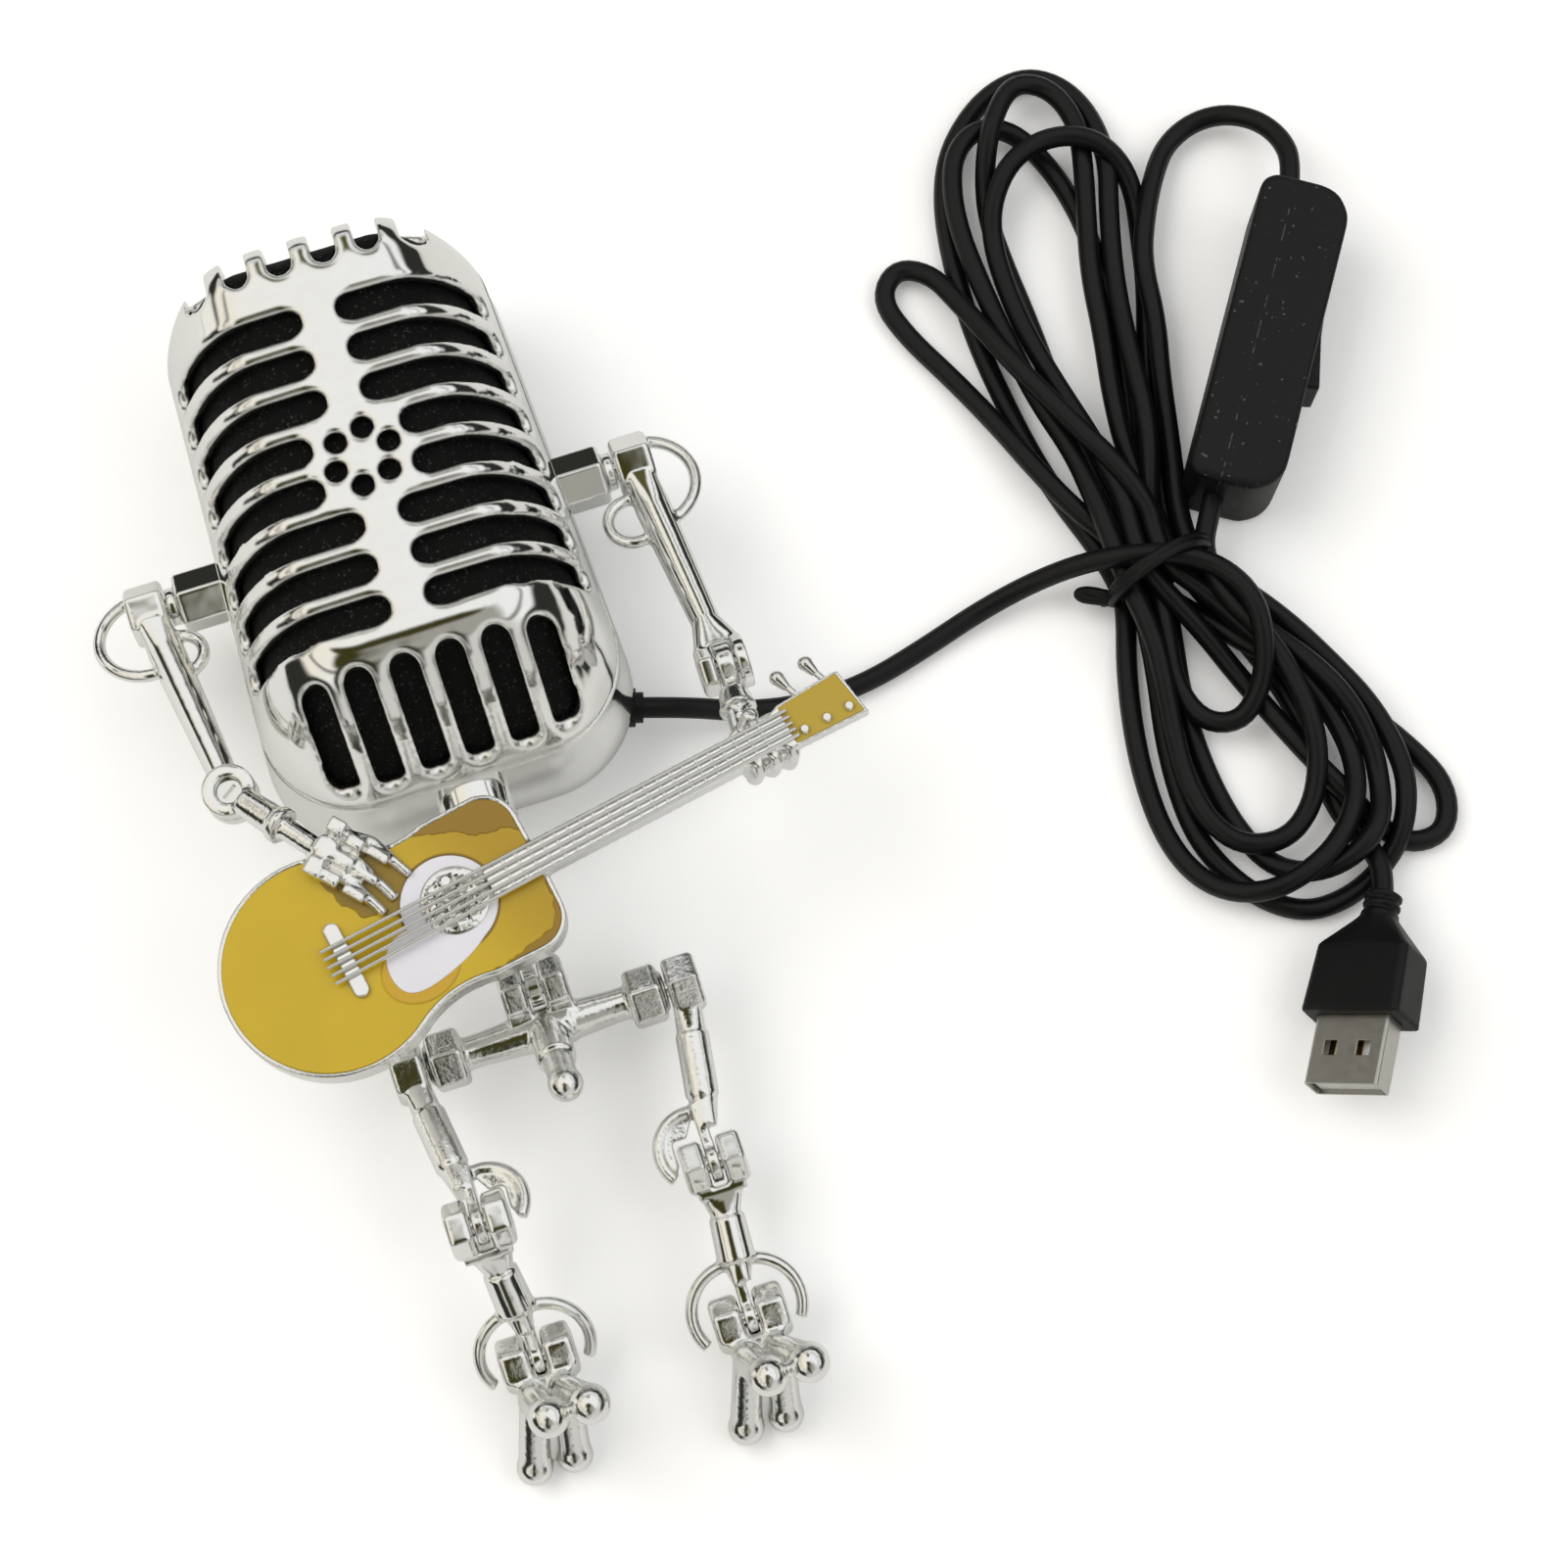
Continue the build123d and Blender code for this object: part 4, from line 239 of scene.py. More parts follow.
TIE_END = (
    (103.2, -38.6, 5.4), (101.9, -37.9, 5.6), (100.6, -37.0, 5.4), (99.2, -36.4, 5.2), (98.2, -36.4, 5.0),
    (98.6, -37.3, 4.8), (100.4, -38.1, 4.6), (102.6, -39.2, 4.8),
)

# The room that the metal reflects. Cones: a direction, the angles in degrees at which it is full and gone,
# and a colour. Bands: two heights above the horizon and the softness of their edges in degrees, and a colour.
# Each lies over the ones before it.
ROOM = (
    ("cone", (-1.0, 0.2, 0.5), 20.0, 70.0, (1.0, 0.95, 0.82)),
    ("band", -4.0, 25.0, 4.0, (0.03, 0.03, 0.026)),
    ("cone", (0.1, -0.97, 0.2), 18.0, 46.0, (0.7, 0.69, 0.66)),
    ("cone", (-0.9, 0.45, 0.12), 8.0, 16.0, (1.0, 0.97, 0.9)),
    ("band", 37.0, 41.0, 1.5, (0.25, 0.24, 0.22)),
    ("cone", (-0.02, -0.52, 0.85), 14.0, 27.0, (0.4, 0.39, 0.35)),
    ("cone", (-0.14, -0.2, 0.97), 11.0, 17.0, (0.05, 0.048, 0.012)),
    ("cone", (-0.26, -0.52, 0.81), 8.0, 15.0, (0.05, 0.048, 0.012)),
    ("cone", (-0.24, -0.78, 0.58), 8.0, 15.0, (0.04, 0.04, 0.02)),
    ("cone", (0.05, 0.62, 0.78), 4.0, 10.0, (0.1, 0.095, 0.03)),
)
ROOM_STRENGTH = 0.95
# The lamps: name, place in metres and power in watts
LAMPS = (("soft_box", (-0.5, 0.35, 0.9), 4.6), ("fill", (0.7, -0.4, 0.9), 2.0))
LAMP_SIZE = 0.8
FLOOR_SIZE = 4.0
FLOOR_GLOW = 0.14
# The camera: the directions backward and upward, the place it looks at in metres and its focal length
CAMERA_BACK = (-0.0755, -0.2298, 0.9703)
CAMERA_UP = (0.3027, 0.9218, 0.2419)
CAMERA_AIM = (0.0458, -0.0500, 0.0)
CAMERA_LENS = 71.28


class LampSizes(bpy.types.PropertyGroup):
    casting_step: bpy.props.FloatProperty(
        name="Casting step", description="Scale of the cells that round the castings' edges",
        default=1.0, min=0.5, max=4.0, subtype="FACTOR")
    tie_wire: bpy.props.FloatProperty(
        name="Tie wire", description="Thickness of the twisted tie",
        default=1.6 * MM, min=0.4 * MM, max=3.0 * MM, subtype="DISTANCE", unit="LENGTH", precision=5)
    edge_radius: bpy.props.FloatProperty(
        name="Edge radius", description="Rounding of the plated edges in the finish",
        default=0.45 * MM, min=0.0, max=2.0 * MM, subtype="DISTANCE", unit="LENGTH", precision=5)
    bar_radius: bpy.props.FloatProperty(
        name="Bar radius", description="Rounding of the head's slotted bars in the finish",
        default=0.9 * MM, min=0.0, max=2.0 * MM, subtype="DISTANCE", unit="LENGTH", precision=5)
    camera_distance: bpy.props.FloatProperty(
        name="Camera distance", description="Distance from the camera to the point it looks at",
        default=0.480, min=0.2, max=3.0, subtype="DISTANCE", unit="LENGTH")


class LampColours(bpy.types.PropertyGroup):
    chrome: bpy.props.FloatVectorProperty(
        name="Chrome", description="Colour of the plated castings", default=(0.88, 0.88, 0.86),
        size=3, min=0.0, max=1.0, subtype="COLOR")
    steel: bpy.props.FloatVectorProperty(
        name="Steel", description="Colour of the pins, screws and strings", default=(0.84, 0.84, 0.82),
        size=3, min=0.0, max=1.0, subtype="COLOR")
    ochre: bpy.props.FloatVectorProperty(
        name="Ochre", description="Colour of the guitar's enamel", default=(0.565, 0.385, 0.004),
        size=3, min=0.0, max=1.0, subtype="COLOR")
    pale: bpy.props.FloatVectorProperty(
        name="Pale", description="Colour of the pick guard's enamel", default=(0.76, 0.75, 0.80),
        size=3, min=0.0, max=1.0, subtype="COLOR")
    black: bpy.props.FloatVectorProperty(
        name="Black", description="Colour of the moulded plastic", default=(0.0045, 0.0045, 0.005),
        size=3, min=0.0, max=1.0, subtype="COLOR")


def sizes():
    """The sizes that a user can change."""
    return bpy.context.scene.lamp_sizes


def colours():
    """The colours that a user can change."""
    return bpy.context.scene.lamp_colours


# Materials

def new_material(name):
    """A material with its Principled shader, by name."""
    made = bpy.data.materials.new(name)
    made.use_nodes = True
    return made, made.node_tree, made.node_tree.nodes["Principled BSDF"]


def add_node(tree, kind, **values):
    """A shader node with its inputs set by name."""
    node = tree.nodes.new(kind)
    for key, value in values.items():
        node.inputs[key.replace("_", " ")].default_value = value
    return node


def object_noise(tree, scale, detail=2.0, roughness=0.5):
    """Noise in the object's own coordinates, its scale per metre."""
    place = tree.nodes.new("ShaderNodeTexCoord")
    noise = add_node(tree, "ShaderNodeTexNoise", Scale=scale, Detail=detail, Roughness=roughness)
    tree.links.new(place.outputs["Object"], noise.inputs["Vector"])
    return noise.outputs["Fac"]


def ranged(tree, value, low, high):
    """A value of 0 to 1 brought to a range."""
    node = tree.nodes.new("ShaderNodeMapRange")
    node.inputs["To Min"].default_value = low
    node.inputs["To Max"].default_value = high
    tree.links.new(value, node.inputs["Value"])
    return node.outputs["Result"]


def tinted(tree, value, low, high):
    """A colour between two by a value."""
    mix = tree.nodes.new("ShaderNodeMix")
    mix.data_type = "RGBA"
    mix.inputs["A"].default_value = (*low, 1.0)
    mix.inputs["B"].default_value = (*high, 1.0)
    tree.links.new(value, mix.inputs["Factor"])
    return mix.outputs["Result"]


def shade(colour, amount):
    """A colour made darker or lighter."""
    return tuple(min(1.0, c * amount) for c in colour)


def relief(tree, shader, height, distance, edge=0.0):
    """Bump from a height, over edges rounded by a radius."""
    bump = add_node(tree, "ShaderNodeBump", Strength=1.0, Distance=distance)
    tree.links.new(height, bump.inputs["Height"])
    if edge > 0.0:
        bevel = add_node(tree, "ShaderNodeBevel", Radius=edge)
        bevel.samples = 6
        tree.links.new(bevel.outputs["Normal"], bump.inputs["Normal"])
    tree.links.new(bump.outputs["Normal"], shader.inputs["Normal"])


def metal(name, colour, roughness, edge, wave, pits=0.0):
    """Polished metal, slightly uneven in its gloss and its surface, with pits where it was cast rough."""
    made, tree, shader = new_material(name)
    shader.inputs["Metallic"].default_value = 1.0
    cloud = object_noise(tree, 420.0, 3.0)
    tree.links.new(tinted(tree, cloud, shade(colour, 0.94), colour), shader.inputs["Base Color"])
    tree.links.new(ranged(tree, object_noise(tree, 900.0, 4.0), *roughness), shader.inputs["Roughness"])
    relief(tree, shader, object_noise(tree, 130.0, 2.0), wave, edge)
    if pits > 0.0:
        fine = add_node(tree, "ShaderNodeBump", Strength=1.0, Distance=pits)
        tree.links.new(object_noise(tree, 1100.0, 3.0, 0.6), fine.inputs["Height"])
        tree.links.new(shader.inputs["Normal"].links[0].from_socket, fine.inputs["Normal"])
        tree.links.new(fine.outputs["Normal"], shader.inputs["Normal"])
    return made


def enamel(name, colour, edge):
    """Poured enamel: a slight mottle under a clear coat."""
    made, tree, shader = new_material(name)
    cloud = object_noise(tree, 160.0, 4.0)
    tree.links.new(tinted(tree, cloud, shade(colour, 0.93), shade(colour, 1.05)), shader.inputs["Base Color"])
    shader.inputs["Roughness"].default_value = 0.35
    shader.inputs["Coat Weight"].default_value = 0.7
    shader.inputs["Coat Roughness"].default_value = 0.06
    relief(tree, shader, object_noise(tree, 240.0, 2.0), MM * 0.05, edge)
    return made


def turned(tree, place, middle, turn, unit):
    """A place counted from a middle, along axes turned in plan by degrees, in a unit for each axis."""
    lay = tree.nodes.new("ShaderNodeMapping")
    lay.vector_type = "TEXTURE"
    lay.inputs["Location"].default_value = middle
    lay.inputs["Rotation"].default_value = (0.0, 0.0, math.radians(turn))
    lay.inputs["Scale"].default_value = unit
    tree.links.new(place, lay.inputs["Vector"])
    return lay.outputs["Vector"]


def own_frame(tree, middle, turn):
    """Millimetres from a piece's middle, along its own turned axes."""
    place = tree.nodes.new("ShaderNodeTexCoord")
    return turned(tree, place.outputs["Object"], [MM * v for v in middle], turn, (MM, MM, MM))


def guitar_frame(tree, wobble):
    """Millimetres along the guitar's neck and across it, with a wobble that gives a wavy border."""
    steady = own_frame(tree, (*GUITAR_PLACE, 0.0), GUITAR_TURN)
    noise = add_node(tree, "ShaderNodeTexNoise", Scale=0.42, Detail=1.0)
    tree.links.new(steady, noise.inputs["Vector"])
    shift = tree.nodes.new("ShaderNodeVectorMath")
    shift.operation = "MULTIPLY_ADD"
    shift.inputs[1].default_value = (wobble, wobble, 0.0)
    tree.links.new(noise.outputs["Color"], shift.inputs[0])
    centre = tree.nodes.new("ShaderNodeVectorMath")
    centre.operation = "SUBTRACT"
    centre.inputs[1].default_value = (wobble / 2, wobble / 2, 0.0)
    tree.links.new(steady, centre.inputs[0])
    tree.links.new(centre.outputs["Vector"], shift.inputs[2])
    return shift.outputs["Vector"]


def within(tree, place, middle, turn, half, soft):
    """1 inside an oval, 0 outside, over a soft border."""
    far = tree.nodes.new("ShaderNodeVectorMath")
    far.operation = "LENGTH"
    tree.links.new(turned(tree, place, (*middle, 0.0), turn, (*half, ANY_HEIGHT)), far.inputs[0])
    return stepped(tree, far.outputs["Value"], 1.0 + soft, 1.0 - soft)


def beyond(tree, place, along, limit, soft):
    """1 past a line across a direction, 0 before it."""
    dot = tree.nodes.new("ShaderNodeVectorMath")
    dot.operation = "DOT_PRODUCT"
    dot.inputs[1].default_value = (*along, 0.0)
    tree.links.new(place, dot.inputs[0])
    return stepped(tree, dot.outputs["Value"], limit - soft, limit + soft)


def stepped(tree, value, start, end):
    """0 at the start, 1 at the end, smooth between."""
    fade = tree.nodes.new("ShaderNodeMapRange")
    fade.interpolation_type = "SMOOTHSTEP"
    fade.inputs["From Min"].default_value = min(start, end)
    fade.inputs["From Max"].default_value = max(start, end)
    fade.inputs["To Min"].default_value = 0.0 if start < end else 1.0
    fade.inputs["To Max"].default_value = 1.0 if start < end else 0.0
    tree.links.new(value, fade.inputs["Value"])
    return fade.outputs["Result"]


def combined(tree, first, second, operation):
    """A value and another value or a number, by one operation."""
    node = tree.nodes.new("ShaderNodeMath")
    node.operation = operation
    tree.links.new(first, node.inputs[0])
    if isinstance(second, float):
        node.inputs[1].default_value = second
    else:
        tree.links.new(second, node.inputs[1])
    return node.outputs["Value"]


def over(tree, below, mask, colour):
    """A colour laid over another where the mask is 1."""
    mix = tree.nodes.new("ShaderNodeMix")
    mix.data_type = "RGBA"
    mix.inputs["B"].default_value = (*colour, 1.0)
    tree.links.new(mask, mix.inputs["Factor"])
    if isinstance(below, tuple):
        mix.inputs["A"].default_value = (*below, 1.0)
    else:
        tree.links.new(below, mix.inputs["A"])
    return mix.outputs["Result"]


def plastic(name, colour, roughness, grain, edge):
    """Moulded plastic or rubber with a fine grain."""
    made, tree, shader = new_material(name)
    tree.links.new(tinted(tree, object_noise(tree, 300.0, 3.0), shade(colour, 0.85), shade(colour, 1.15)),
                   shader.inputs["Base Color"])
    tree.links.new(ranged(tree, object_noise(tree, 700.0, 4.0), roughness - 0.05, roughness + 0.05),
                   shader.inputs["Roughness"])
    shader.inputs["Specular IOR Level"].default_value = 0.25
    relief(tree, shader, object_noise(tree, 5000.0, 2.0), grain, edge)
    return made


def give(name, made):
    """Gives a node or a piece one material."""
    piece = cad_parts.get(name) or bpy.data.objects[name]
    piece.data.materials.clear()
    piece.data.materials.append(made)
    return piece


# Pieces

def select_only(piece):
    """Selects one piece and makes it the active one."""
    bpy.ops.object.select_all(action="DESELECT")
    piece.select_set(True)
    bpy.context.view_layer.objects.active = piece


def merged_copy(node, name):
    """A copy of a CAD node as a piece of its own, its corners joined."""
    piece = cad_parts[node].copy()
    piece.data = piece.data.copy()
    piece.name = piece.data.name = name
    for key in [k for k in piece.keys() if k.startswith("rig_")]:
        del piece[key]
    bpy.context.scene.collection.objects.link(piece)
    piece.parent = None
    piece.matrix_world.identity()
    select_only(piece)
    bpy.ops.object.mode_set(mode="EDIT")
    bpy.ops.mesh.select_all(action="SELECT")
    bpy.ops.mesh.remove_doubles(threshold=1e-6)
    bpy.ops.object.mode_set(mode="OBJECT")
    bpy.ops.mesh.customdata_custom_splitnormals_clear()
    return piece


def apply_modifier(piece, kind, **values):
    """Adds a modifier to a piece and applies it."""
    modifier = piece.modifiers.new(kind.title(), kind)
    for key, value in values.items():
        setattr(modifier, key, value)
    select_only(piece)
    bpy.ops.object.modifier_apply(modifier=modifier.name)


def add_block(middle, size, turn):
    """A box of a size in millimetres about a middle in metres, turned in plan by degrees."""
    bpy.ops.object.select_all(action="DESELECT")
    bpy.ops.mesh.primitive_cube_add(size=1.0, location=middle, rotation=(0.0, 0.0, math.radians(turn)),
                                    scale=[MM * v for v in size])
    block = bpy.context.object
    bpy.ops.object.transform_apply(location=True, rotation=True, scale=True)
    return block


def guitar_point(u, v, height):
    """A place by millimetres along the guitar's neck, across it and above the floor."""
    turn = math.radians(GUITAR_TURN)
    return MM * Vector((GUITAR_PLACE[0] + u * math.cos(turn) - v * math.sin(turn),
                        GUITAR_PLACE[1] + u * math.sin(turn) + v * math.cos(turn), height))


def soften_form(piece, cell, rounds, low, high):
    """Rounds the large creases of a shell, and leaves its slots and what is below a height."""
    form = piece.copy()
    form.data = piece.data.copy()
    bpy.context.scene.collection.objects.link(form)
    select_only(form)
    bpy.ops.object.mode_set(mode="EDIT")
    bpy.ops.mesh.select_all(action="SELECT")
    bpy.ops.mesh.convex_hull()
    bpy.ops.object.mode_set(mode="OBJECT")
    apply_modifier(form, "REMESH", mode="VOXEL", voxel_size=MM * cell)
    before = [v.co.copy() for v in form.data.vertices]
    apply_modifier(form, "SMOOTH", factor=0.5, iterations=rounds)
    after = [v.co.copy() for v in form.data.vertices]
    tree = KDTree(len(before))
    for index, place in enumerate(before):
        tree.insert(place, index)
    tree.balance()
    for vertex in piece.data.vertices:
        fade = min(1.0, max(0.0, (vertex.co.z / MM - low) / (high - low)))
        if fade > 0.0:
            total, move = 0.0, Vector()
            for _, index, distance in tree.find_n(vertex.co, SOFTENING_GUIDES):
                weight = 1.0 / (distance + MM)
                total += weight
                move += weight * (after[index] - before[index])
            vertex.co += fade * fade * (3.0 - 2.0 * fade) * move / total
    bpy.data.objects.remove(form)
    select_only(piece)


def make_round_wire(name, routes, radius, steps, sides):
    """Round wire or cord along open splines, each guided by a route in millimetres.

    The radius is given to the points, because the curve's own box grows by theirs and not by the bevel's.
    """
    curve = bpy.data.curves.new(name, "CURVE")
    curve.dimensions = "3D"
    for route in routes:
        spline = curve.splines.new("NURBS")
        spline.points.add(len(route) - 1)
        for point, place in zip(spline.points, route):
            point.co = (*(MM * v for v in place), 1.0)
            point.radius = radius
        spline.order_u = 3
        spline.use_endpoint_u = True
        spline.resolution_u = steps
    curve.bevel_depth = 1.0
    curve.bevel_resolution = sides
    curve.use_fill_caps = True
    piece = bpy.data.objects.new(name, curve)
    bpy.context.scene.collection.objects.link(piece)
    return piece


def route_length(points):
    """Length of the spline that a route's points guide, in metres."""
    places = [Vector(p) * MM for p in points]
    total, steps = 0.0, 8
    last = places[0]
    for a, b, c in zip(places, places[1:], places[2:]):
        start = places[0] if a is places[0] else (a + b) / 2
        end = places[-1] if c is places[-1] else (b + c) / 2
        for i in range(1, steps + 1):
            t = i / steps
            here = (1 - t) ** 2 * start + 2 * t * (1 - t) * b + t ** 2 * end
            total += (here - last).length
            last = here
    return total


class LampOperator(bpy.types.Operator):
    bl_options = {"REGISTER", "UNDO"}


class OBJECT_OT_lamp_castings(LampOperator):
    """Make the castings, the rocker and the plug's body again with soft edges"""
    bl_idname = "object.lamp_castings"
    bl_label = "Castings"

    def execute(self, context):
        for node, body, step, rounds in CASTINGS + MOULDINGS:
            piece = merged_copy(node, node + "_cast")
            if node == "guitar_casting":
                self.add_hand(piece)
            if node == "front_shell":
                soften_form(piece, SOFTENING_CELL, SOFTENING_ROUNDS, SOFTENED_FROM, SOFTENED_TO)
            apply_modifier(piece, "REMESH", mode="VOXEL", voxel_size=MM * step * sizes().casting_step)
            apply_modifier(piece, "SMOOTH", factor=0.5, iterations=rounds)
            select_only(piece)
            bpy.ops.object.shade_smooth()
            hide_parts(node)
            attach(piece, body)
        return {"FINISHED"}

    @staticmethod
    def add_hand(casting):
        """Square knuckles on the hand that lies on the guitar, joined to the casting."""
        blocks = []
        for u, v, length, width, height, turn in HAND_BLOCKS:
            middle = guitar_point(u, v, GUITAR_TOP + height / 2)
            blocks.append(add_block(middle, (length, width, height), GUITAR_TURN + turn))
        bpy.ops.object.select_all(action="DESELECT")
        for block in blocks:
            block.select_set(True)
        casting.select_set(True)
        bpy.context.view_layer.objects.active = casting
        bpy.ops.object.join()


class OBJECT_OT_lamp_guitar(LampOperator):
    """Lay the crumpled foil in the sound hole and the frets under the strings"""
    bl_idname = "object.lamp_guitar"
    bl_label = "Guitar"

    def execute(self, context):
        self.make_foil(context)
        self.make_frets()
        return {"FINISHED"}

    @staticmethod
    def make_foil(context):
        """A fine grid cut to a disc and crumpled."""
        middle = guitar_point(*FOIL_PLACE, GUITAR_TOP + 0.1)
        bpy.ops.object.select_all(action="DESELECT")
        bpy.ops.mesh.primitive_grid_add(x_subdivisions=24, y_subdivisions=24, location=middle,
                                        size=MM * (2 * FOIL_RADIUS + 0.4))
        foil = context.object
        foil.name = foil.data.name = "foil"
        bpy.ops.object.transform_apply(location=True, rotation=True, scale=True)
        bpy.ops.object.mode_set(mode="EDIT")
        shape = bmesh.from_edit_mesh(foil.data)
        for vertex in shape.verts:
            vertex.select = (vertex.co - middle).length > MM * FOIL_RADIUS
        shape.select_flush(True)
        bmesh.update_edit_mesh(foil.data)
        bpy.ops.mesh.delete(type="VERT")
        bpy.ops.object.mode_set(mode="OBJECT")
        crumple = bpy.data.textures.new("crumple", "VORONOI")
        crumple.noise_scale = MM * FOIL_CREASE
        crumple.noise_intensity = 1.4
        apply_modifier(foil, "DISPLACE", texture=crumple, texture_coords="LOCAL", direction="Z",
                       strength=MM * FOIL_RELIEF, mid_level=0.55)
        apply_modifier(foil, "SOLIDIFY", thickness=MM * FOIL_THICKNESS)
        bpy.ops.object.shade_flat()
        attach(foil, "guitar_arm")

    @staticmethod
    def make_frets():
        """One bar with rounded edges, repeated along the neck."""
        frets = add_block(guitar_point(FRET_START, 0.0, GUITAR_TOP + FRET_RISE), FRET_SIZE, GUITAR_TURN)
        frets.name = frets.data.name = "frets"
        apply_modifier(frets, "BEVEL", width=MM * 0.1, segments=2)
        step = guitar_point(FRET_PITCH, 0.0, 0.0) - guitar_point(0.0, 0.0, 0.0)
        apply_modifier(frets, "ARRAY", count=FRET_COUNT, use_relative_offset=False, use_constant_offset=True,
                       constant_offset_displace=step)
        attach(frets, "guitar_arm")


class OBJECT_OT_lamp_switch(LampOperator):
    """Mould the rounded case of the switch, open for its rocker"""
    bl_idname = "object.lamp_switch"
    bl_label = "Switch case"

    def execute(self, context):
        turn = math.radians(SWITCH_TURN)
        along = Vector((math.cos(turn), math.sin(turn), 0.0))
        out = Vector((math.sin(turn), -math.cos(turn), 0.0))
        middle = Vector(SWITCH_MIDDLE) * MM
        case = add_block(middle, SWITCH_SIZE, SWITCH_TURN)
        case.name = case.data.name = "switch_case"
        self.round_corners(case, middle, out)
        apply_modifier(case, "REMESH", mode="VOXEL", voxel_size=MM * SWITCH_CELL)
        apply_modifier(case, "SMOOTH", factor=0.5, iterations=SWITCH_ROUNDS)
        place = middle + MM * (OPENING_PLACE[0] * along + OPENING_PLACE[1] * out)
        opening = add_block(place, OPENING_SIZE, SWITCH_TURN)
        apply_modifier(case, "BOOLEAN", operation="DIFFERENCE", object=opening, solver="EXACT")
        bpy.data.objects.remove(opening)
        select_only(case)
        bpy.ops.object.shade_smooth_by_angle(angle=math.radians(40.0))
        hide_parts("switch_bottom_cover", "switch_top_cover")
        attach(case, "head")
        return {"FINISHED"}

    @staticmethod
    def round_corners(case, middle, out):
        """Bevels the upright edges, by one radius on the rocker's side and by another on the far side."""
        select_only(case)
        bpy.ops.object.mode_set(mode="EDIT")
        for side, radius in ((1.0, SWITCH_OUTER_RADIUS), (-1.0, SWITCH_INNER_RADIUS)):
            shape = bmesh.from_edit_mesh(case.data)
            bpy.ops.mesh.select_all(action="DESELECT")
            for edge in shape.edges:
                a, b = (v.co for v in edge.verts)
                upright = abs((a - b).normalized().z) > 0.9
                if upright and ((a + b) / 2 - middle).dot(out) * side > 0.0:
                    edge.select_set(True)
            bmesh.update_edit_mesh(case.data)
            bpy.ops.mesh.bevel(offset=MM * radius, segments=8)
        bpy.ops.object.mode_set(mode="OBJECT")


class OBJECT_OT_lamp_tie(LampOperator):
    """Wind the wire tie round the bundle and twist its ends"""
    bl_idname = "object.lamp_tie"
    bl_label = "Tie"

    def execute(self, context):
        piece = make_round_wire("tie_wire", (TIE_WIRE, TIE_END), sizes().tie_wire / 2, steps=6, sides=3)
        select_only(piece)
        bpy.ops.object.convert(target="MESH")
        piece = context.object
        piece.name = piece.data.name = "tie_wire"
        bpy.ops.object.shade_smooth()
        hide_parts("twist_tie")
        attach(piece, "head")
        return {"FINISHED"}


class OBJECT_OT_lamp_cords(LampOperator):
    """Lay the two cords through the tied hank"""
    bl_idname = "object.lamp_cords"
    bl_label = "Cords"

    def execute(self, context):
        switch = ["switch_case", "switch_rocker_cast", "rocker_pin", "switch_contacts"]
        plug = ["plug_body_cast", "plug_shell", "plug_tongue", "plug_contacts"]
        radius = MM * CORD_DIAMETER / 2
        lamp_cord = make_round_wire("lamp_cord", (LAMP_CORD,), radius, steps=5, sides=5)
        plug_cord = make_round_wire("plug_cord", (PLUG_CORD,), radius, steps=5, sides=5)
        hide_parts("lead_cord", "switch_loop_cord", "cord_hank")
        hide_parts("switch_tail_cord", "plug_lead_cord")
        for piece, points, far_end, fittings in ((lamp_cord, LAMP_CORD, "fitting", switch),
                                                 (plug_cord, PLUG_CORD, "plug", plug)):
            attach(piece, "head")
            route_length(points)
        return {"FINISHED"}


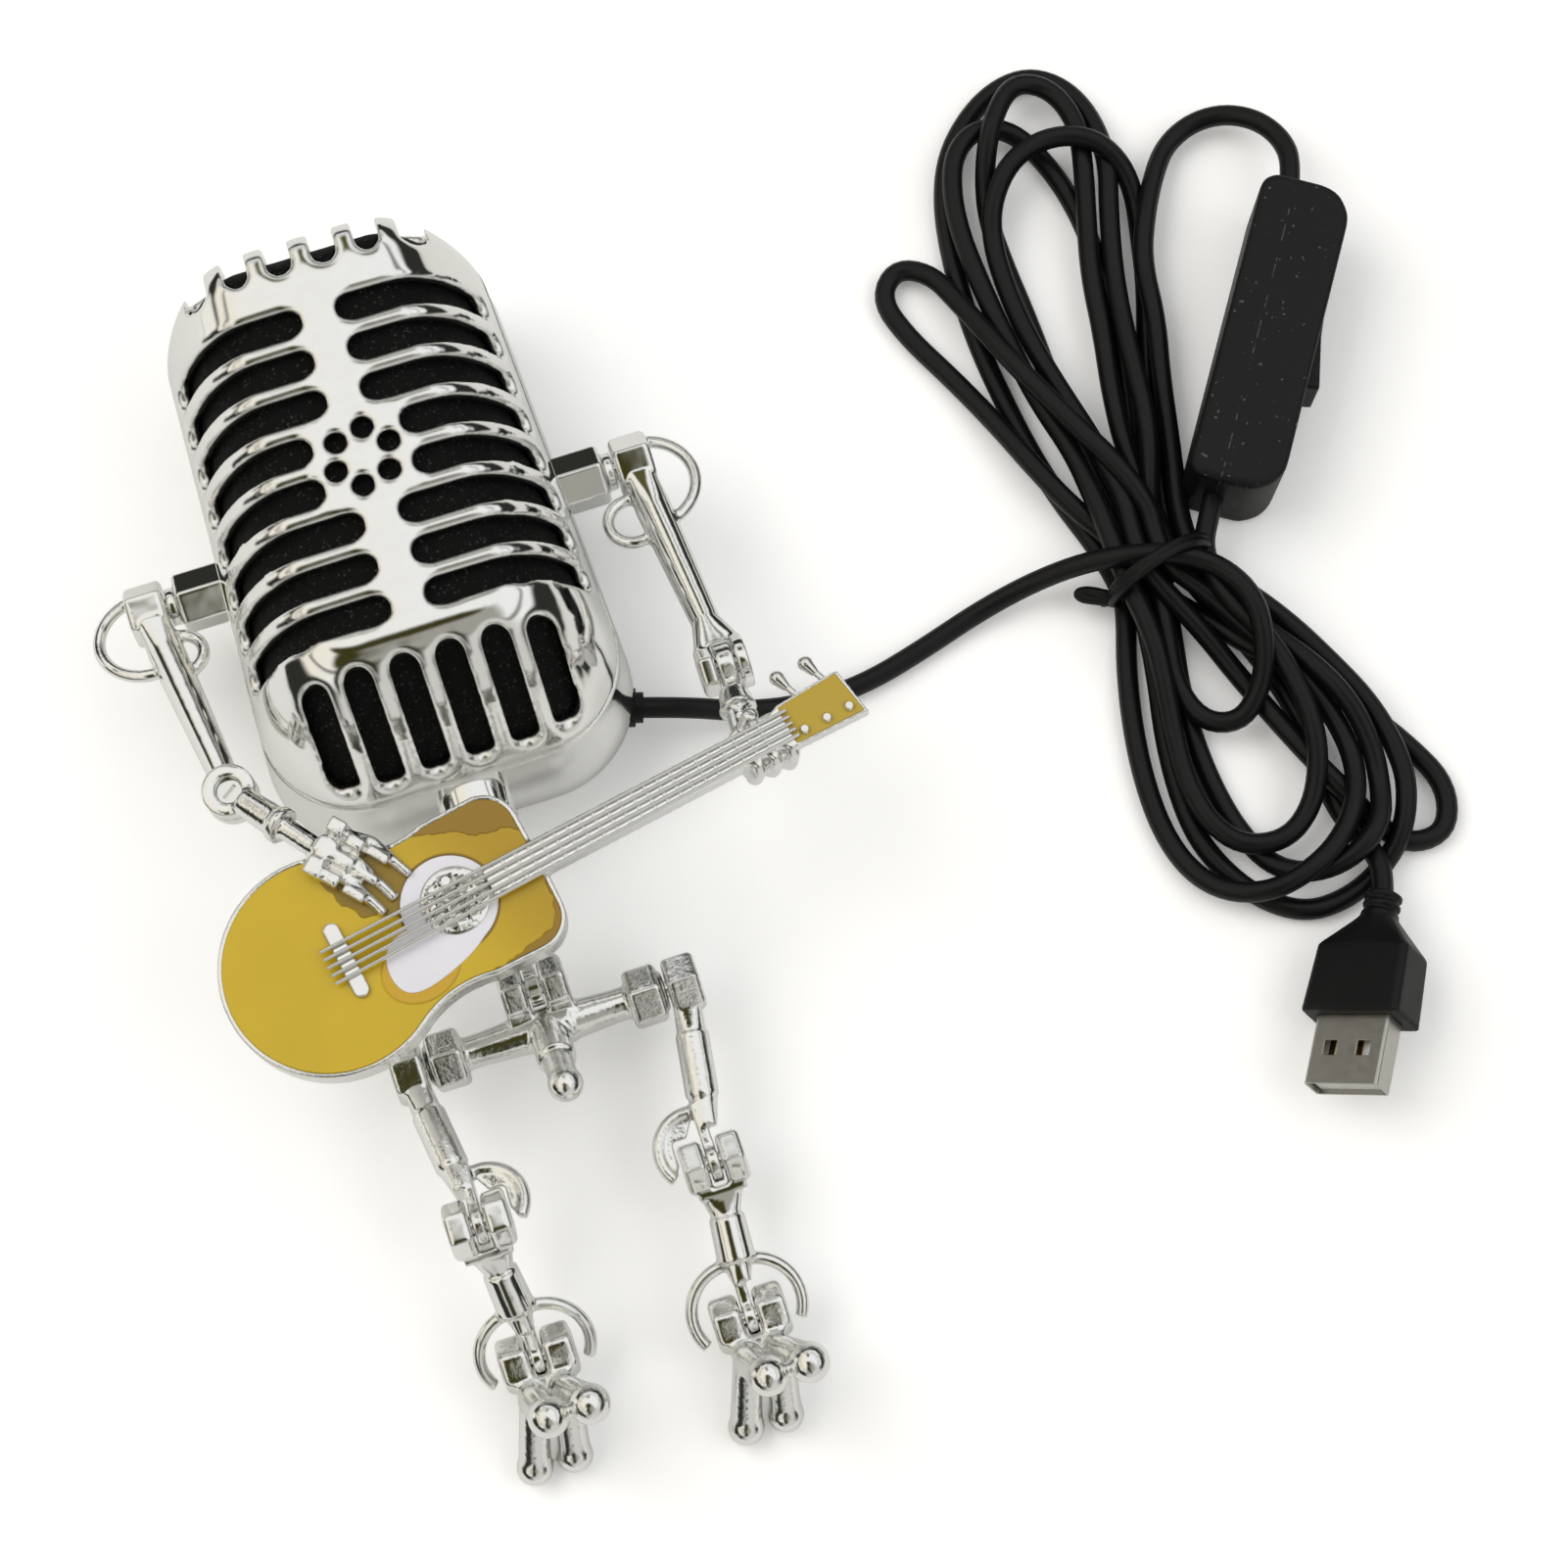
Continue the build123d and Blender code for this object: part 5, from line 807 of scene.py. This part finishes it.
class OBJECT_OT_lamp_finishes(LampOperator):
    """Give every node and piece its finish"""
    bl_idname = "object.lamp_finishes"
    bl_label = "Finishes"

    def execute(self, context):
        edge = sizes().edge_radius
        plated = colours().chrome
        chrome = metal("Chrome", plated, roughness=(0.04, 0.09), edge=edge, wave=MM * 0.12)
        rough = metal("Rough chrome", plated, roughness=(0.06, 0.14), edge=edge, wave=MM * 0.12,
                      pits=MM * 0.06)
        head_chrome = metal("Head chrome", plated, roughness=(0.04, 0.09), edge=sizes().bar_radius,
                            wave=MM * 0.08)
        steel = metal("Steel", colours().steel, roughness=(0.1, 0.2), edge=MM * 0.1, wave=MM * 0.03)
        black = plastic("Black plastic", colours().black, roughness=0.42, grain=MM * 0.012, edge=MM * 0.4)
        cord = plastic("Black cord", colours().black, roughness=0.36, grain=MM * 0.006, edge=0.0)
        cast = {row[0] for row in CASTINGS + MOULDINGS}
        for node in CHROME_NODES:
            finish = head_chrome if node in ("front_shell", "rear_shell") else chrome
            finish = rough if node in ROUGH_CASTINGS else finish
            give(node, finish)
            if node in cast:
                give(node + "_cast", finish)
        for node in STEEL_NODES:
            give(node, steel)
        for node in PLASTIC_NODES:
            give(node, black)
            if node in cast:
                give(node + "_cast", black)
        for node in CORD_NODES:
            give(node, cord)
        for name in ("lamp_cord", "plug_cord"):
            give(name, cord)
        give("twist_tie", black)
        give("tie_wire", black)
        give("switch_case", self.switch_plastic())
        give("foil", metal("Foil", plated, roughness=(0.1, 0.2), edge=0.0, wave=MM * 0.05))
        give("frets", steel)
        give("grille_cloth", self.cloth())
        give("guitar_enamel", self.guitar_enamel())
        give("headstock_enamel", enamel("Headstock enamel", shade(colours().ochre, 0.8), edge=MM * 0.3))
        give("rosette_enamel", enamel("Pale enamel", colours().pale, edge=MM * 0.3))
        nickel = metal("Nickel", (0.55, 0.54, 0.5), roughness=(0.25, 0.4), edge=MM * 0.2, wave=MM * 0.02)
        brass = metal("Brass", (0.7, 0.5, 0.2), roughness=(0.15, 0.25), edge=0.0, wave=MM * 0.02)
        white = plastic("White plastic", (0.8, 0.8, 0.78), roughness=0.4, grain=MM * 0.01, edge=MM * 0.1)
        board = plastic("Circuit board", (0.75, 0.78, 0.72), roughness=0.35, grain=MM * 0.01, edge=MM * 0.1)
        give("plug_shell", nickel)
        give("switch_contacts", brass)
        give("plug_contacts", brass)
        give("plug_tongue", white)
        give("led_board", board)
        give("led_chips", enamel("Yellow chip", (0.85, 0.65, 0.2), edge=MM * 0.1))
        return {"FINISHED"}

    @staticmethod
    def guitar_enamel():
        """Ochre enamel that lies thin in the middle and darker along the rim, with painted shade under the
        hand and a painted dark reflection over its upper end.
        """
        made, tree, shader = new_material("Ochre enamel")
        ochre = colours().ochre
        deep = (0.36 * ochre[0], 0.3 * ochre[1], 0.1 * ochre[2])
        wavy = guitar_frame(tree, RIM_AND_SHADE_WOBBLE)
        steady = guitar_frame(tree, 0.0)
        cloud = object_noise(tree, 120.0, 3.0)
        colour = tinted(tree, cloud, shade(ochre, 0.95), shade(ochre, 1.05))
        low_edge = combined(tree, beyond(tree, wavy, *LOWER_RIM), beyond(tree, wavy, *LOWER_RIM_START),
                            "MULTIPLY")
        rim = combined(tree, beyond(tree, wavy, *UPPER_RIM), beyond(tree, wavy, *NECK_RIM), "MAXIMUM")
        rim = combined(tree, rim, low_edge, "MAXIMUM")
        # Painted shade under the hand's fingers
        hand_shade = within(tree, wavy, *HAND_SHADE_OVAL)
        lip = within(tree, steady, *LOWER_LIP)
        # Laid over in turn: the painted dark reflection over the upper end, the darker rim, the painted shade
        # under the hand, the lip and the line round the hole
        for mask, laid in ((beyond(tree, steady, *PAINTED_REFLECTION_END), PAINTED_REFLECTION_OCHRE), (rim, RIM_OCHRE),
                           (hand_shade, HAND_SHADE_OCHRE), (lip, LIP_OCHRE), (within(tree, steady, *HOLE_LINE), deep)):
            colour = over(tree, colour, mask, laid)
        tree.links.new(colour, shader.inputs["Base Color"])
        shader.inputs["Roughness"].default_value = 0.35
        shader.inputs["Coat Weight"].default_value = 0.35
        shader.inputs["Coat Roughness"].default_value = 0.05
        height = combined(tree, combined(tree, rim, hand_shade, "MAXIMUM"), lip, "MAXIMUM")
        pour = combined(tree, height, combined(tree, object_noise(tree, 240.0, 2.0), 0.25, "MULTIPLY"), "ADD")
        relief(tree, shader, pour, MM * 0.22, edge=MM * 0.3)
        return made

    @staticmethod
    def switch_plastic():
        """Satin black plastic with a fine seam round the case and a little dust."""
        black = colours().black
        made = plastic("Switch plastic", black, roughness=0.46, grain=MM * 0.01, edge=0.0)
        tree, shader = made.node_tree, made.node_tree.nodes["Principled BSDF"]
        split = tree.nodes.new("ShaderNodeSeparateXYZ")
        tree.links.new(own_frame(tree, SWITCH_MIDDLE, SWITCH_TURN), split.inputs["Vector"])
        from_seam = combined(tree, combined(tree, split.outputs["Y"], -SEAM_PLACE, "ADD"), 0.0, "ABSOLUTE")
        seam = stepped(tree, from_seam, SEAM_GONE, SEAM_FULL)
        # A pale line along the seam, broken up by noise, and pale specks of dust
        seam_breaks = stepped(tree, object_noise(tree, 600.0, 2.0), 0.5, 0.6)
        dust = stepped(tree, object_noise(tree, 1500.0, 0.0), 0.80, 0.83)
        light = combined(tree, combined(tree, seam, seam_breaks, "MULTIPLY"), dust, "MAXIMUM")
        colour = over(tree, shader.inputs["Base Color"].links[0].from_socket, light, (0.07, 0.07, 0.07))
        tree.links.new(colour, shader.inputs["Base Color"])
        return made

    @staticmethod
    def cloth():
        """Black cloth, grained by small cells, a few of them painted paler as glints."""
        made, tree, shader = new_material("Grille cloth")
        place = tree.nodes.new("ShaderNodeTexCoord")
        cells = add_node(tree, "ShaderNodeTexVoronoi", Scale=3600.0)
        tree.links.new(place.outputs["Object"], cells.inputs["Vector"])
        # Painted glints: the palest cells get a paler base colour
        painted_glint = add_node(tree, "ShaderNodeMapRange", From_Min=0.93, From_Max=0.99)
        split = tree.nodes.new("ShaderNodeSeparateColor")
        tree.links.new(cells.outputs["Color"], split.inputs["Color"])
        tree.links.new(split.outputs["Red"], painted_glint.inputs["Value"])
        tree.links.new(tinted(tree, painted_glint.outputs["Result"], (0.003, 0.003, 0.003), (0.035, 0.035, 0.035)),
                       shader.inputs["Base Color"])
        shader.inputs["Roughness"].default_value = 0.7
        shader.inputs["Specular IOR Level"].default_value = 0.15
        relief(tree, shader, cells.outputs["Distance"], MM * 0.1)
        return made


class OBJECT_OT_lamp_stage(LampOperator):
    """Set the floor, the light and the camera"""
    bl_idname = "object.lamp_stage"
    bl_label = "Stage"

    def execute(self, context):
        floor = self.floor(context)
        lamps = [self.lamp(*row) for row in LAMPS]
        camera = self.camera(context)
        self.world(context)
        context.scene.view_settings.view_transform = "Standard"
        return {"FINISHED"}

    @staticmethod
    def floor(context):
        """A pale floor. To the camera it is white and glows a little, which keeps its shadows pale."""
        bpy.ops.object.select_all(action="DESELECT")
        bpy.ops.mesh.primitive_plane_add(size=FLOOR_SIZE, location=(0.0, 0.0, 0.0))
        floor = context.object
        floor.name = "floor"
        made, tree, shader = new_material("Floor")
        path = tree.nodes.new("ShaderNodeLightPath")
        cloud = object_noise(tree, 3.0, 2.0)
        plain = tinted(tree, cloud, (0.80, 0.80, 0.79), (0.82, 0.82, 0.81))
        seen = over(tree, plain, path.outputs["Is Camera Ray"], (1.0, 1.0, 1.0))
        tree.links.new(seen, shader.inputs["Base Color"])
        shader.inputs["Roughness"].default_value = 0.9
        shader.inputs["Specular IOR Level"].default_value = 0.0
        shader.inputs["Emission Color"].default_value = (1.0, 1.0, 1.0, 1.0)
        tree.links.new(combined(tree, path.outputs["Is Camera Ray"], FLOOR_GLOW, "MULTIPLY"),
                       shader.inputs["Emission Strength"])
        floor.data.materials.append(made)
        return floor

    @staticmethod
    def lamp(name, place, power):
        """A square lamp turned to the middle of the floor, not seen itself."""
        light = bpy.data.lights.new(name, "AREA")
        light.size, light.energy = LAMP_SIZE, power
        lamp = bpy.data.objects.new(name, light)
        lamp.location = place
        lamp.rotation_mode = "QUATERNION"
        lamp.rotation_quaternion = Vector(place).to_track_quat("Z", "Y")
        lamp.visible_camera = lamp.visible_glossy = False
        bpy.context.scene.collection.objects.link(lamp)
        return lamp

    @staticmethod
    def camera(context):
        """The camera, at its distance from the place it looks at."""
        data = bpy.data.cameras.new("camera")
        data.sensor_width, data.lens = 36.0, CAMERA_LENS
        data.clip_start, data.clip_end = 0.01, 20.0
        camera = bpy.data.objects.new("camera", data)
        back = Vector(CAMERA_BACK)
        right = Vector(CAMERA_UP).cross(back).normalized()
        up = back.cross(right).normalized()
        place = Vector(CAMERA_AIM) + back.normalized() * sizes().camera_distance
        camera.matrix_world = Matrix.Translation(place) @ Matrix((right, up, back)).transposed().to_4x4()
        context.scene.collection.objects.link(camera)
        context.scene.camera = camera
        return camera

    @staticmethod
    def world(context):
        """A white room with the dark and tinted places that the metal reflects."""
        world = bpy.data.worlds.new("Studio")
        world.use_nodes = True
        context.scene.world = world
        tree = world.node_tree
        background = tree.nodes["Background"]
        place = tree.nodes.new("ShaderNodeTexCoord")
        unit = tree.nodes.new("ShaderNodeVectorMath")
        unit.operation = "NORMALIZE"
        tree.links.new(place.outputs["Generated"], unit.inputs[0])
        split = tree.nodes.new("ShaderNodeSeparateXYZ")
        tree.links.new(unit.outputs["Vector"], split.inputs["Vector"])

        def cone(direction, full, gone):
            """1 inside a cone about a direction, 0 outside."""
            dot = tree.nodes.new("ShaderNodeVectorMath")
            dot.operation = "DOT_PRODUCT"
            dot.inputs[1].default_value = Vector(direction).normalized()
            tree.links.new(unit.outputs["Vector"], dot.inputs[0])
            return stepped(tree, dot.outputs["Value"], math.cos(math.radians(gone)),
                           math.cos(math.radians(full)))

        def band(low, high, soft):
            """1 between two heights above the horizon, in degrees."""
            rise, fall = ((math.sin(math.radians(at - soft)), math.sin(math.radians(at + soft)))
                          for at in (low, high))
            above = stepped(tree, split.outputs["Z"], *rise)
            below = stepped(tree, split.outputs["Z"], *reversed(fall))
            return combined(tree, above, below, "MULTIPLY")

        sky = (1.0, 1.0, 1.0)
        shapes = {"cone": cone, "band": band}
        for kind, *values, colour in ROOM:
            sky = over(tree, sky, shapes[kind](*values), colour)
        tree.links.new(sky, background.inputs["Color"])
        background.inputs["Strength"].default_value = ROOM_STRENGTH
        white = tree.nodes.new("ShaderNodeBackground")
        white.inputs["Color"].default_value = (1.0, 1.0, 1.0, 1.0)
        path = tree.nodes.new("ShaderNodeLightPath")
        mix = tree.nodes.new("ShaderNodeMixShader")
        tree.links.new(path.outputs["Is Camera Ray"], mix.inputs["Fac"])
        tree.links.new(background.outputs["Background"], mix.inputs[1])
        tree.links.new(white.outputs["Background"], mix.inputs[2])
        tree.links.new(mix.outputs["Shader"], tree.nodes["World Output"].inputs["Surface"])


class VIEW3D_PT_lamp(bpy.types.Panel):
    """The lamp's sizes, colours and steps"""
    bl_label = "Robot desk lamp"
    bl_space_type = "VIEW_3D"
    bl_region_type = "UI"
    bl_category = "Lamp"

    def draw(self, context):
        layout = self.layout
        for group in (context.scene.lamp_sizes, context.scene.lamp_colours):
            for name in group.__annotations__:
                layout.prop(group, name)
        for step in STEPS:
            layout.operator(step.bl_idname)


STEPS = (OBJECT_OT_lamp_castings, OBJECT_OT_lamp_guitar, OBJECT_OT_lamp_switch, OBJECT_OT_lamp_cords,
         OBJECT_OT_lamp_tie, OBJECT_OT_lamp_finishes, OBJECT_OT_lamp_stage)
CLASSES = (LampSizes, LampColours, *STEPS, VIEW3D_PT_lamp)


def register():
    for item in CLASSES:
        bpy.utils.register_class(item)
    bpy.types.Scene.lamp_sizes = bpy.props.PointerProperty(type=LampSizes)
    bpy.types.Scene.lamp_colours = bpy.props.PointerProperty(type=LampColours)


def unregister():
    del bpy.types.Scene.lamp_sizes, bpy.types.Scene.lamp_colours
    for item in reversed(CLASSES):
        bpy.utils.unregister_class(item)


def main():
    register()
    bpy.ops.object.lamp_castings()
    bpy.ops.object.lamp_guitar()
    bpy.ops.object.lamp_switch()
    bpy.ops.object.lamp_cords()
    bpy.ops.object.lamp_tie()
    bpy.ops.object.lamp_finishes()
    bpy.ops.object.lamp_stage()


if __name__ == "__main__":
    main()
